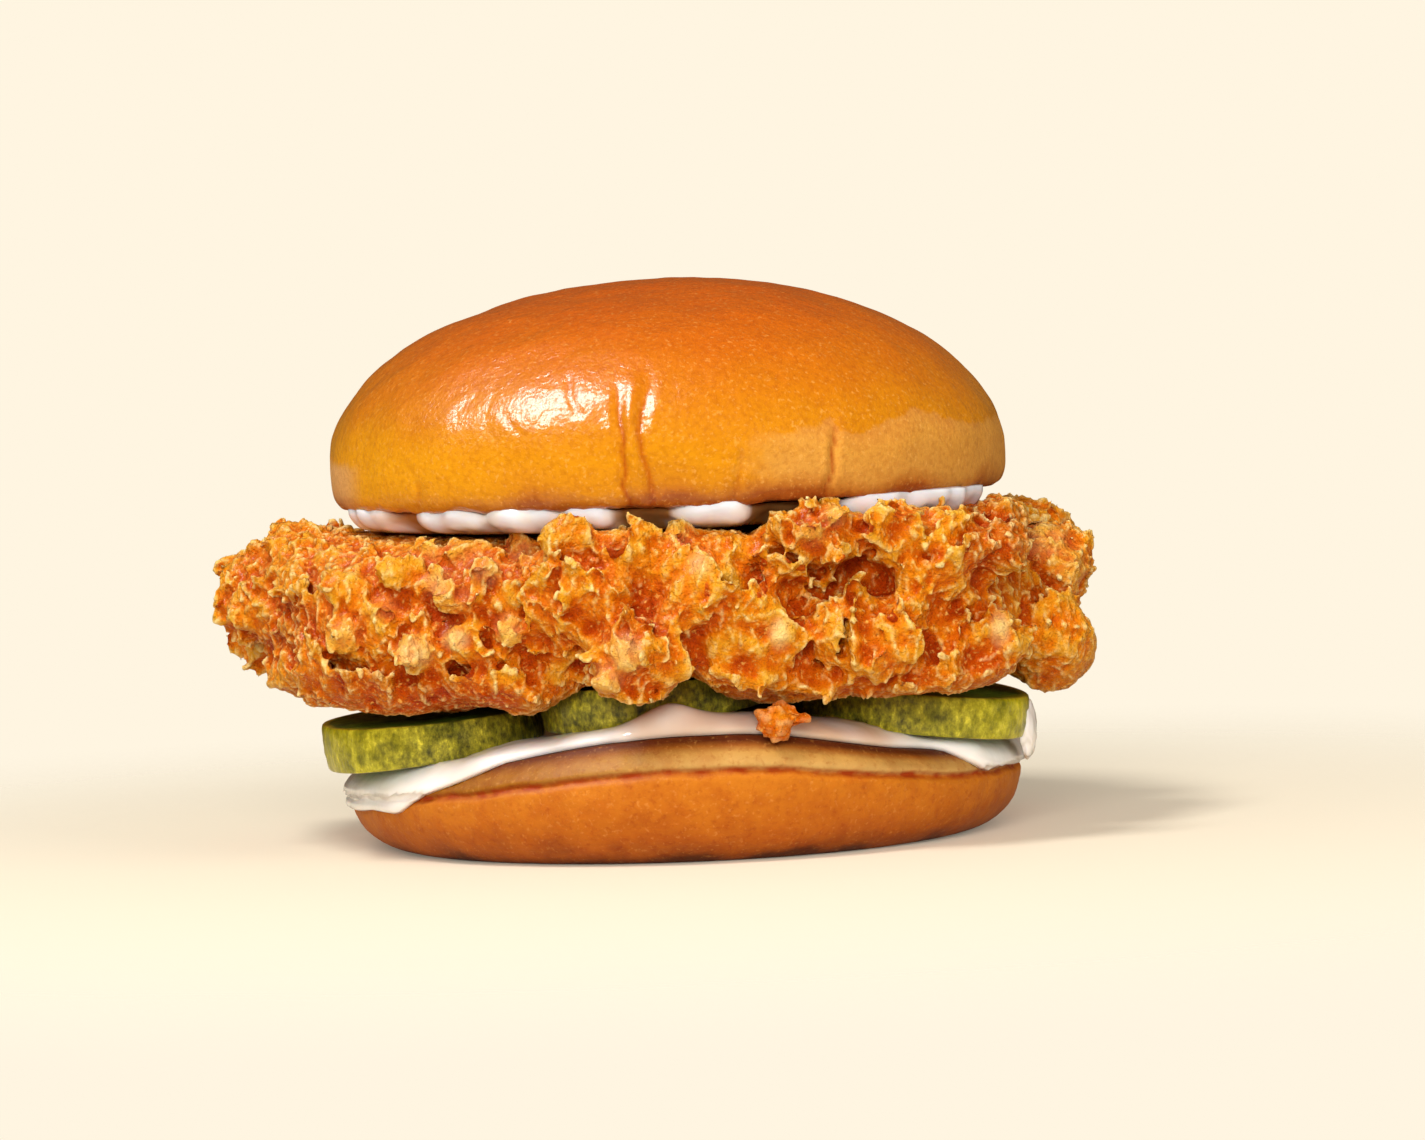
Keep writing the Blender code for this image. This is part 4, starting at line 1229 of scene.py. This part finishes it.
# Flakes and grains: how far apart, the seed of their draws, and their least and largest size in mm.
LARGE_FLAKES = (0.0042, 6, (2.6, 5.0))
SMALL_FLAKES = (0.0018, 5, (1.4, 3.0))
GRAINS = (0.0017, 9, (0.35, 0.70))

# The crust is one skin in three closed pieces, cut where only its inside shows the cut: name,
# then the planes, each a point and the side that goes.
CRUST_PIECES = (
    ("fried_crust_left", (((0, -0.006, 0), (0, 1, 0)), ((-0.004, 0, 0), (1, 0, 0)))),
    ("fried_crust_right", (((0, -0.006, 0), (0, 1, 0)), ((-0.004, 0, 0), (-1, 0, 0)))),
    ("fried_crust_rear", (((0, -0.006, 0), (0, -1, 0)),)),
)


def fuse(piece, grain):
    """Fuses all that a mesh holds into one skin."""
    apply_modifier(piece, "REMESH", mode="VOXEL", voxel_size=grain, adaptivity=0.0)


def fused_crust():
    """The fillet with its folds, knobs and large flakes, and then its small flakes and grains."""
    base = copy_of_node("chicken_fillet", "crust_base")
    fuse(base, BASE_GRAIN)
    put_points(base.data, smoothed(points_of(base.data), edges_of(base.data), 3))
    tree = BVHTree.FromPolygons(
        [v.co for v in base.data.vertices], [tuple(f.vertices) for f in base.data.polygons]
    )
    clay = Clay()
    clay.add_mesh(base.data)
    add_shown_folds(clay, tree)
    add_knobs(clay, tree)
    add_flakes(clay, base.data, *LARGE_FLAKES, large_place)
    bpy.data.objects.remove(base)
    body = clay.piece("crust_body")
    fuse(body, BODY_GRAIN)
    clay = Clay()
    clay.add_mesh(body.data)
    add_flakes(clay, body.data, *SMALL_FLAKES, small_place)
    add_crumbs(clay, body.data, *GRAINS, grain_place)
    bpy.data.objects.remove(body)
    crust = clay.piece("crust_fused")
    fuse(crust, CRUST_GRAIN)
    keep_large_shells(crust, LEAST_SHELL)
    roughen(crust.data)
    return crust


def cut_out(crust, name, cuts):
    """A closed piece of the crust, brought down to the triangles that it may have."""
    part = bpy.data.objects.new(name, crust.data.copy())
    part.data.name = name
    bpy.context.scene.collection.objects.link(part)
    with editing(part):
        for place, side in cuts:
            bpy.ops.mesh.select_all(action="SELECT")
            bpy.ops.mesh.bisect(plane_co=place, plane_no=side, use_fill=True, clear_outer=True)
    part.data.calc_loop_triangles()
    count = len(part.data.loop_triangles)
    if count > CRUST_TRIANGLES:
        apply_modifier(part, "DECIMATE", ratio=CRUST_TRIANGLES / count)
    return part


def make_crust():
    """The pieces of the crust, each painted with what the whole skin says of its points."""
    crust = fused_crust()
    depth, edge = crust_marks(crust.data)
    points = points_of(crust.data)
    finder = KDTree(len(points))
    for number, point in enumerate(points):
        finder.insert(point, number)
    finder.balance()
    pieces = []
    for name, cuts in CRUST_PIECES:
        part = cut_out(crust, name, cuts)
        places = points_of(part.data)
        found = [finder.find(point)[1] for point in places]
        brown = np.array([browned(Vector(point)) for point in places])
        pale = np.array([paled(Vector(point)) for point in places])
        # The batter paints the crevice depth as shade, and the edges pale, partly as painted highlight.
        paint(part, "crust", depth[found], np.maximum(edge[found], pale), brown)
        pieces.append(part)
    bpy.data.objects.remove(crust)
    return pieces


# Places that are painted darker: X, Z, half sizes, how dark, in mm, on the shown side.
DARK_PLACES = (
    (49.5, 48.0, 6.5, 5.5, 0.9),
    (-61.0, 36.0, 7.0, 6.0, 0.5),
    (-52.0, 28.0, 12.0, 4.0, 0.6),
    (-36.0, 26.0, 14.0, 3.6, 0.7),
    (-6.5, 42.0, 3.0, 7.0, 0.45),
    (19.0, 49.0, 7.0, 4.0, 0.4),
    (46.0, 27.0, 8.0, 4.0, 0.4),
)


def browned(point):
    """How much darker than the rest the crust is painted here: towards the bottom, in patches, and at the
    listed places.
    """
    low = smooth_step(0.032, 0.022, point.z) * 0.35
    patch = 0.18 * wobble(point, 0.012, 40.0)
    dark = 0.0
    if point.y < 0.005:
        for x, z, half_x, half_z, much in DARK_PLACES:
            off = math.hypot((point.x / MM - x) / half_x, (point.z / MM - z) / half_z)
            dark = max(dark, much * smooth_step(1.3, 0.5, off))
    return 0.22 + low + patch + 0.6 * dark


def make_crumb():
    """A ragged scrap of batter on the heel's rim."""
    crumb = copy_of_node("batter_crumb", "batter_scrap")
    fuse(crumb, SCRAP_GRAIN)
    points, normals = points_of(crumb.data), normals_of(crumb.data)
    spikes = noises(points, 0.0026, 4.0) * 0.0019 + noises(points, 0.0011, 8.0) * 0.0008
    put_points(crumb.data, points + normals * spikes[:, None])
    edge = crust_marks(crumb.data)[1]
    # Its edges are painted pale, partly as painted highlight.
    paint(crumb, "crust", np.full(len(points), 0.58), 0.35 * edge, np.full(len(points), 0.30))
    return crumb


# Materials


def brioche_crust():
    """Brioche, egg washed and baked: a thin glaze over soft brown crust, darkest on top, amber
    towards the sides, and matt where it touched its neighbour in the tin."""
    material, shader = new_material("brioche_egg_washed_baked")
    place = (add_node(material, COORDINATES, {}), "Object")
    layer = add_node(material, ATTRIBUTE, {}, attribute_name="crust")
    marks = add_node(material, CHANNELS, {0: (layer, "Color")})
    across = add_node(material, AXES, {0: place})

    # How high on the bun, blurred by patches: the colours of its glazed and of its matt crust.
    patches = add_node(material, NOISE, {"Vector": place, "Scale": 1 / (14.0 * MM), "Detail": 3.0})
    mottle = add_node(material, RANGE, {0: patches, 1: 0.3, 2: 0.7, 3: -0.06, 4: 0.06})
    height = add_node(material, MATH, {0: marks, 1: mottle}, operation="ADD")
    baked = add_node(material, RAMP, {0: height}, (
        (0.00, "#a3541a"), (0.03, "#b86a1c"), (0.08, "#cc8010"), (0.20, "#d68a06"), (0.38, "#ce7e06"),
        (0.55, "#ca7006"), (0.72, "#ca6406"), (0.88, "#c85c08"), (1.0, "#c65608"),
    ))
    dull = add_node(material, RAMP, {0: height}, (
        (0.00, "#a3541a"), (0.03, "#bc7428"), (0.10, "#d4943c"), (0.24, "#d69438"), (0.34, "#ce8632"),
        (0.45, "#c87628"),
    ))
    # Painted light: the lower left of the crown, which faces the key light, is painted a brighter amber.
    left = add_node(material, RANGE, {0: across, 1: -0.018, 2: -0.048, 3: 0.0, 4: 0.8})
    low = add_node(material, RANGE, {0: height, 1: 0.42, 2: 0.16})
    sunny = add_node(material, MATH, {0: left, 1: low}, operation="MULTIPLY")
    glazed = add_node(material, MIX, {0: sunny, 6: baked, 7: "#f2a808"}, **BLEND)
    end = add_node(material, RANGE, {0: across, 1: -0.042, 2: -0.053, 3: 0.0, 4: 0.8})
    bare = add_node(material, MIX, {0: end, 6: dull, 7: "#f2c48a"}, **BLEND)
    matt = add_node(material, RANGE, {0: (marks, 1), 1: 0.25, 2: 0.65})
    colour = add_node(material, MIX, {0: matt, 6: (glazed, 2), 7: (bare, 2)}, **BLEND)

    # Dark and pale grains in the crust, and the shade in its creases.
    fine = add_node(material, NOISE, {"Vector": place, "Scale": 1 / (0.9 * MM), "Detail": 2.0})
    speckle = add_node(material, RAMP, {0: fine}, ((0.32, "#d0b098"), (0.56, "#ffffff")))
    colour = add_node(material, MIX, {0: 0.34, 6: (colour, 2), 7: speckle}, **MULTIPLY)
    finer = add_node(material, NOISE, {"Vector": place, "Scale": 1 / (0.65 * MM), "Detail": 2.0})
    pale_grain = add_node(material, RANGE, {0: finer, 1: 0.58, 2: 0.74, 3: 0.0, 4: 0.30})
    colour = add_node(material, MIX, {0: pale_grain, 6: (colour, 2), 7: "#f6b860"}, **BLEND)
    crease = add_node(material, RANGE, {0: (marks, 2), 1: 0.05, 2: 0.75})
    colour = add_node(material, MIX, {0: crease, 6: (colour, 2), 7: "#c8743c"}, **MULTIPLY)

    # The crust is soft and finely pored, and the glaze dimples over it.
    skin = add_node(material, NOISE, {"Vector": place, "Scale": 1 / (2.6 * MM), "Detail": 3.0})
    pores = add_node(
        material, NOISE, {"Vector": place, "Scale": 1 / (0.55 * MM), "Detail": 3.0, "Roughness": 0.6}
    )
    dimples = add_node(
        material, NOISE, {"Vector": place, "Scale": 1 / (4.5 * MM), "Detail": 3.0, "Roughness": 0.6}
    )
    soft = add_node(material, BUMP, {"Strength": 0.35, "Distance": 0.30 * MM, "Height": skin})
    pored = add_node(
        material, BUMP, {"Strength": 0.7, "Distance": 0.20 * MM, "Height": pores, "Normal": soft}
    )
    dimpled = add_node(
        material, BUMP, {"Strength": 0.7, "Distance": 1.0 * MM, "Height": dimples, "Normal": soft}
    )
    coat = add_node(
        material, BUMP, {"Strength": 0.4, "Distance": 0.12 * MM, "Height": pores, "Normal": dimpled}
    )
    feed(material, shader, {
        "Base Color": (colour, 2),
        "Specular IOR Level": 0.12,
        "Sheen Weight": 0.08,
        "Sheen Roughness": 0.45,
        "Sheen Tint": "#f0b878",
        "Roughness": add_node(material, RANGE, {0: (marks, 1), 1: 0.0, 2: 1.0, 3: 0.36, 4: 0.62}),
        "Coat Weight": add_node(material, RANGE, {0: (marks, 1), 1: 0.0, 2: 0.8, 3: 0.55, 4: 0.0}),
        "Coat Roughness": 0.16,
        "Normal": pored,
        "Coat Normal": coat,
    })
    return material


def heel_crust():
    """Brioche heel, baked and sliced: soft satin crust below, and above its crease the bare pale
    band that was pressed to the tin, paler to the right of the middle."""
    material, shader = new_material("brioche_heel_baked")
    place = (add_node(material, COORDINATES, {}), "Object")
    layer = add_node(material, ATTRIBUTE, {}, attribute_name="crust")
    marks = add_node(material, CHANNELS, {0: (layer, "Color")})
    across = add_node(material, AXES, {0: place})

    # The crust by its height, and the band by its own, which turns dark brown at the rim: partly a toasted
    # edge, partly painted shade under the mayonnaise.
    patches = add_node(material, NOISE, {"Vector": place, "Scale": 1 / (9.0 * MM), "Detail": 3.0})
    mottle = add_node(material, RANGE, {0: patches, 1: 0.3, 2: 0.7, 3: -0.11, 4: 0.11})
    height = add_node(material, MATH, {0: marks, 1: mottle}, operation="ADD")
    crust = add_node(material, RAMP, {0: height}, (
        (0.00, "#66300e"), (0.07, "#944a12"), (0.20, "#ab5910"), (0.45, "#ba6712"), (0.70, "#c17016"),
    ))
    pale_band = add_node(material, RAMP, {0: marks}, (
        (0.66, "#b3792e"), (0.78, "#c09654"), (0.88, "#ba8b44"), (0.93, "#96591f"), (0.97, "#5a280e"),
    ))
    plain_band = add_node(material, RAMP, {0: marks}, (
        (0.66, "#935810"), (0.88, "#9c6214"), (0.93, "#8c5212"), (0.98, "#663010"),
    ))
    shown_pale = add_node(material, RANGE, {0: across, 1: -0.020, 2: 0.008})
    band = add_node(material, MIX, {0: shown_pale, 6: plain_band, 7: pale_band}, **BLEND)
    colour = add_node(material, MIX, {0: (marks, 1), 6: crust, 7: (band, 2)}, **BLEND)

    # Brown grain, streaks, pale flecks, and painted shade along the crease, broken up by noise.
    grain = add_node(
        material, NOISE, {"Vector": place, "Scale": 1 / (1.1 * MM), "Detail": 4.0, "Roughness": 0.65}
    )
    grained = add_node(material, RAMP, {0: grain}, (
        (0.32, "#d09a70"), (0.47, "#ffffff"), (0.62, "#ffffff"), (0.74, "#fff0d0"),
    ))
    colour = add_node(material, MIX, {0: 0.40, 6: (colour, 2), 7: grained}, **MULTIPLY)
    drawn = add_node(
        material, NOISE, {"Vector": place, "Scale": 1 / (3.2 * MM), "Detail": 4.0, "Roughness": 0.6}
    )
    streaks = add_node(material, RAMP, {0: drawn}, ((0.34, "#d8a480"), (0.56, "#ffffff")))
    colour = add_node(material, MIX, {0: 0.35, 6: (colour, 2), 7: streaks}, **MULTIPLY)
    specks = add_node(material, NOISE, {"Vector": place, "Scale": 1 / (0.7 * MM), "Detail": 2.0})
    flecks = add_node(material, RANGE, {0: specks, 1: 0.60, 2: 0.74, 3: 0.0, 4: 0.20})
    colour = add_node(material, MIX, {0: flecks, 6: (colour, 2), 7: "#e8a858"}, **BLEND)
    wear = add_node(material, NOISE, {"Vector": place, "Scale": 1 / (2.5 * MM), "Detail": 3.0})
    worn = add_node(material, RANGE, {0: wear, 1: 0.35, 2: 0.58, 3: 0.35, 4: 1.0})
    crease = add_node(material, RANGE, {0: (marks, 2), 1: 0.25, 2: 0.75})
    line = add_node(material, MATH, {0: crease, 1: worn}, operation="MULTIPLY")
    colour = add_node(material, MIX, {0: line, 6: (colour, 2), 7: "#983606"}, **BLEND)

    lumpy = add_node(material, NOISE, {"Vector": place, "Scale": 1 / (1.8 * MM), "Detail": 3.0})
    pores = add_node(
        material, NOISE, {"Vector": place, "Scale": 1 / (0.6 * MM), "Detail": 3.0, "Roughness": 0.65}
    )
    soft = add_node(material, BUMP, {"Strength": 0.5, "Distance": 0.30 * MM, "Height": lumpy})
    pored = add_node(
        material, BUMP, {"Strength": 0.6, "Distance": 0.16 * MM, "Height": pores, "Normal": soft}
    )
    feed(material, shader, {
        "Base Color": (colour, 2),
        "Roughness": 0.6,
        "Specular IOR Level": 0.18,
        "Normal": pored,
    })
    return material


def fried_batter():
    """Flour batter, deep fried, with a film of oil: orange gold on its sheets, red brown in its
    crevices by painted shade, and pale gold on its thin crisp edges, partly dry batter and partly
    painted highlight."""
    material, shader = new_material("flour_batter_deep_fried")
    place = (add_node(material, COORDINATES, {}), "Object")
    layer = add_node(material, ATTRIBUTE, {}, attribute_name="crust")
    marks = add_node(material, CHANNELS, {0: (layer, "Color")})

    # Painted shade by its depth in the crevices, blurred by patches, and how much darker it is painted in
    # places.
    patches = add_node(
        material, NOISE, {"Vector": place, "Scale": 1 / (5.0 * MM), "Detail": 4.0, "Roughness": 0.55}
    )
    mottle = add_node(material, RANGE, {0: patches, 1: 0.25, 2: 0.75, 3: -0.16, 4: 0.16})
    depth = add_node(material, MATH, {0: marks, 1: mottle}, operation="ADD")
    body = add_node(material, RAMP, {0: depth}, (
        (0.12, "#eeb636"), (0.32, "#eca41e"), (0.48, "#e88a0e"), (0.60, "#de7208"), (0.74, "#cc5806"),
        (0.92, "#b44008"),
    ))
    brown = add_node(material, MIX, {0: 1.0, 6: body, 7: "#c8784c"}, **MULTIPLY)
    colour = add_node(material, MIX, {0: (marks, 2), 6: body, 7: (brown, 2)}, **BLEND)

    # Dark specks, crisp edges painted pale where they are dry, partly as painted highlight, and grains of
    # dry flour.
    fine = add_node(
        material, NOISE, {"Vector": place, "Scale": 1 / (0.8 * MM), "Detail": 3.0, "Roughness": 0.6}
    )
    speckle = add_node(material, RAMP, {0: fine}, ((0.30, "#d8a080"), (0.48, "#ffffff")))
    colour = add_node(material, MIX, {0: 0.5, 6: (colour, 2), 7: speckle}, **MULTIPLY)
    dusted = add_node(
        material, NOISE, {"Vector": place, "Scale": 1 / (2.4 * MM), "Detail": 3.0, "Roughness": 0.6}
    )
    dry = add_node(material, RANGE, {0: dusted, 1: 0.36, 2: 0.60, 3: 0.45, 4: 1.0})
    crisp = add_node(material, MATH, {0: (marks, 1), 1: dry}, operation="MULTIPLY")
    colour = add_node(material, MIX, {0: crisp, 6: (colour, 2), 7: "#ffe6a0"}, **BLEND)
    grit = add_node(material, NOISE, {"Vector": place, "Scale": 1 / (0.8 * MM), "Detail": 2.0})
    flour = add_node(material, RANGE, {0: grit, 1: 0.58, 2: 0.72, 3: 0.0, 4: 0.5})
    colour = add_node(material, MIX, {0: flour, 6: (colour, 2), 7: "#ffca62"}, **BLEND)

    oil = add_node(material, NOISE, {"Vector": place, "Scale": 1 / (3.5 * MM), "Detail": 2.0})
    crinkle = add_node(
        material, NOISE, {"Vector": place, "Scale": 1 / (1.5 * MM), "Detail": 4.0, "Roughness": 0.65}
    )
    grains = add_node(
        material, NOISE, {"Vector": place, "Scale": 1 / (0.7 * MM), "Detail": 3.0, "Roughness": 0.7}
    )
    crinkled = add_node(material, BUMP, {"Strength": 1.0, "Distance": 1.2 * MM, "Height": crinkle})
    grained = add_node(
        material, BUMP, {"Strength": 0.8, "Distance": 0.5 * MM, "Height": grains, "Normal": crinkled}
    )
    feed(material, shader, {
        "Base Color": (colour, 2),
        "Roughness": add_node(material, RANGE, {0: oil, 1: 0.35, 2: 0.65, 3: 0.38, 4: 0.62}),
        "Specular IOR Level": 0.30,
        "Specular Tint": "#ffc060",
        "Coat Weight": 0.07,
        "Coat Roughness": 0.14,
        "Normal": grained,
    })
    return material


def mayonnaise():
    """Mayonnaise, spread: an off-white emulsion that lets a little light in and stays wet. Where
    it is thin and recessed it is painted a warm tan, partly the bread showing through and partly
    painted shade, and its thick blobs are painted whitest, partly as painted light."""
    material, shader = new_material("mayonnaise_spread")
    place = (add_node(material, COORDINATES, {}), "Object")
    layer = add_node(material, ATTRIBUTE, {}, attribute_name="thin")
    marks = add_node(material, CHANNELS, {0: (layer, "Color")})
    cloud = add_node(material, NOISE, {"Vector": place, "Scale": 1 / (7.0 * MM), "Detail": 2.0})
    tint = add_node(material, RAMP, {0: cloud}, ((0.35, "#f2ece6"), (0.65, "#faf6f2")))
    # Painted light whitens the thick blobs; painted shade tans the thin and recessed mayonnaise.
    thick = add_node(material, MIX, {0: (marks, 1), 6: tint, 7: "#eef3fd"}, **BLEND)
    colour = add_node(material, MIX, {0: marks, 6: (thick, 2), 7: "#c08c50"}, **BLEND)
    folds = add_node(material, NOISE, {"Vector": place, "Scale": 1 / (3.0 * MM), "Detail": 2.0})
    feed(material, shader, {
        "Base Color": (colour, 2),
        "Roughness": 0.22,
        "IOR": 1.46,
        "Coat Weight": 0.4,
        "Coat Roughness": 0.08,
        "Subsurface Weight": 0.35,
        "Subsurface Radius": (1.0, 0.75, 0.55),
        "Subsurface Scale": 1.5 * MM,
        "Normal": add_node(material, BUMP, {"Strength": 0.3, "Distance": 0.4 * MM, "Height": folds}),
    })
    return material


def pickled_cucumber():
    """Cucumber, pickled and sliced: wet olive skin with paler ridges and yellow flecks, and
    darker matt cut faces."""
    material, shader = new_material("cucumber_pickled_sliced")
    place = (add_node(material, COORDINATES, {}), "Object")
    layer = add_node(material, ATTRIBUTE, {}, attribute_name="rind")
    marks = add_node(material, CHANNELS, {0: (layer, "Color")})
    upright = add_node(material, "ShaderNodeMapping", {"Vector": place, "Scale": (1.0, 1.0, 0.7)})
    ridges = add_node(
        material, NOISE, {"Vector": upright, "Scale": 640.0, "Detail": 5.0, "Roughness": 0.72}
    )
    rind = add_node(material, RAMP, {0: ridges}, (
        (0.34, "#44421a"), (0.43, "#6c6820"), (0.50, "#8c8628"), (0.57, "#a8a02c"), (0.66, "#ded240"),
    ))
    # Painted light: a brighter yellow skin towards the outer ends of the row, away from its shaded middle.
    ends = add_node(material, RAMP, {0: ridges}, ((0.34, "#8c8612"), (0.50, "#b6ac18"), (0.66, "#ddd03c")))
    side = add_node(material, MIX, {0: (marks, 2), 6: rind, 7: ends}, **BLEND)
    flesh = add_node(material, RAMP, {0: ridges}, ((0.35, "#3e5a14"), (0.65, "#607e26")))
    colour = add_node(material, MIX, {0: (marks, 1), 6: flesh, 7: (side, 2)}, **BLEND)
    blotches = add_node(material, NOISE, {"Vector": place, "Scale": 1 / (4.0 * MM), "Detail": 3.0})
    patches = add_node(material, RAMP, {0: blotches}, ((0.36, "#98a078"), (0.55, "#ffffff")))
    colour = add_node(material, MIX, {0: 0.6, 6: (colour, 2), 7: patches}, **MULTIPLY)
    feed(material, shader, {
        "Base Color": (colour, 2),
        "Roughness": add_node(material, RANGE, {0: (marks, 1), 1: 0.0, 2: 1.0, 3: 0.70, 4: 0.28}),
        "Coat Weight": add_node(material, RANGE, {0: (marks, 1), 1: 0.0, 2: 1.0, 3: 0.0, 4: 0.3}),
        "Coat Roughness": 0.12,
        "Specular IOR Level": 0.25,
        "Subsurface Weight": 0.2,
        "Subsurface Radius": (0.8, 0.9, 0.3),
        "Subsurface Scale": 1.2 * MM,
        "Normal": add_node(material, BUMP, {"Strength": 0.6, "Distance": 0.5 * MM, "Height": ridges}),
    })
    return material


# The place of the bun's axis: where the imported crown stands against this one.

crown = make_crown()
crown_points = points_of(crown.data)
crown_low, crown_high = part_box("top_bun")
crown_middle = (crown_points.min(0) + crown_points.max(0)) / 2
bun_x = (crown_low.x + crown_high.x) / 2 - crown_middle[0]
bun_y = (crown_low.y + crown_high.y) / 2 - crown_middle[1]
BUN_PLACE = Vector((bun_x, bun_y, 0))

# The pieces

brioche = brioche_crust()
batter = fried_batter()
mayo = mayonnaise()
cucumber = pickled_cucumber()

finish(crown, "top_bun", brioche)
finish(make_heel(), "bottom_bun", heel_crust())
finish(make_lower_mayo(), "lower_mayo", mayo)
finish(make_upper_mayo(), "upper_mayo", mayo)
for place, row in enumerate(PICKLES):
    finish(make_pickle(place, *row), row[0], cucumber)
for place, row in enumerate(SMEARS):
    finish(make_smear(place, *row), "lower_mayo", mayo)
for part in make_crust():
    finish(part, "chicken_fillet", batter)
finish(make_crumb(), "batter_crumb", batter)

# The studio

FLOOR_RADIUS = 0.5
FLOOR_FADES_FROM, FLOOR_FADES_TO = 0.08, 0.26


def studio_floor():
    """A painted board, pale cream and matt, whose edge fades into the backdrop."""
    material, shader = new_material("board_painted_cream")
    place = (add_node(material, COORDINATES, {}), "Object")
    reach = add_node(material, "ShaderNodeVectorMath", {0: place}, operation="LENGTH")
    fade = add_node(
        material, RANGE,
        {0: (reach, "Value"), 1: FLOOR_FADES_FROM, 2: FLOOR_FADES_TO, 3: 0.85, 4: 0.0},
        interpolation_type="SMOOTHSTEP",
    )
    feed(material, shader, {
        "Base Color": "#f6ecd6",
        "Roughness": 0.9,
        "Specular IOR Level": 0.1,
        "Alpha": fade,
    })
    return material


def add_floor():
    deselect()
    bpy.ops.mesh.primitive_circle_add(vertices=96, radius=FLOOR_RADIUS, fill_type="NGON")
    floor = bpy.context.object
    floor.name = "studio_floor"
    floor.data.materials.append(studio_floor())


# Softboxes: name, direction seen from the burger, distance, size, watts, colour, and whether it
# gives the soft light or the shine.
SOFTBOXES = (
    ("key", (-0.34, -0.44, 0.82), 1.10, (0.30, 0.25), 7.6, (1.0, 0.97, 0.92), "soft"),
    ("sheen", (-0.47, -0.28, 0.84), 0.80, (0.56, 0.44), 4.6, (0.95, 0.96, 1.0), "shine"),
    ("spark", (-0.48, -0.32, 0.82), 0.80, (0.34, 0.42), 11.0, (0.95, 0.97, 1.0), "shine"),
    ("front", (-0.10, -0.95, 0.30), 1.40, (0.6, 0.45), 13.0, (1.0, 0.97, 0.93), "soft"),
    ("fill", (0.65, -0.65, 0.42), 1.40, (0.8, 0.7), 4.6, (1.0, 0.97, 0.93), "soft"),
)
LIGHTS_AIM = Vector((0, 0, 0.045))


def add_softbox(name, toward, distance, size, watts, colour, gives):
    """An area light that looks at the middle of the burger."""
    data = bpy.data.lights.new(name, "AREA")
    data.shape = "RECTANGLE"
    data.size, data.size_y = size
    data.energy = watts
    data.color = colour
    light = bpy.data.objects.new(name, data)
    bpy.context.scene.collection.objects.link(light)
    light.visible_diffuse = gives == "soft"
    light.visible_glossy = gives == "shine"
    light.location = LIGHTS_AIM + Vector(toward).normalized() * distance
    light.rotation_euler = (LIGHTS_AIM - light.location).to_track_quat("-Z", "Y").to_euler()


def add_backdrop():
    """Cream where the camera looks at it, and a dimmer light for the burger and its reflections."""
    world = bpy.data.worlds.new("backdrop")
    bpy.context.scene.world = world
    world.use_nodes = True
    tree = world.node_tree
    path = tree.nodes.new("ShaderNodeLightPath")

    def glow(node, code, strength):
        node.inputs["Color"].default_value = linear(code)
        node.inputs["Strength"].default_value = strength
        return node

    def choose(ray, others, these):
        """Gives rays of one kind their own light."""
        made = tree.nodes.new("ShaderNodeMixShader")
        for place, output in enumerate((path.outputs[ray], others.outputs[0], these.outputs[0])):
            tree.links.new(output, made.inputs[place])
        return made

    seen = glow(tree.nodes["Background"], "#fff5e1", 1.0)
    soft = glow(tree.nodes.new("ShaderNodeBackground"), "#fff3e2", 0.34)
    mirrored = glow(tree.nodes.new("ShaderNodeBackground"), "#ffb870", 0.06)
    both = choose("Is Camera Ray", choose("Is Glossy Ray", soft, mirrored), seen)
    tree.links.new(both.outputs[0], tree.nodes["World Output"].inputs[0])


add_floor()
for row in SOFTBOXES:
    add_softbox(*row)
add_backdrop()
bpy.context.scene.view_settings.view_transform = "Standard"
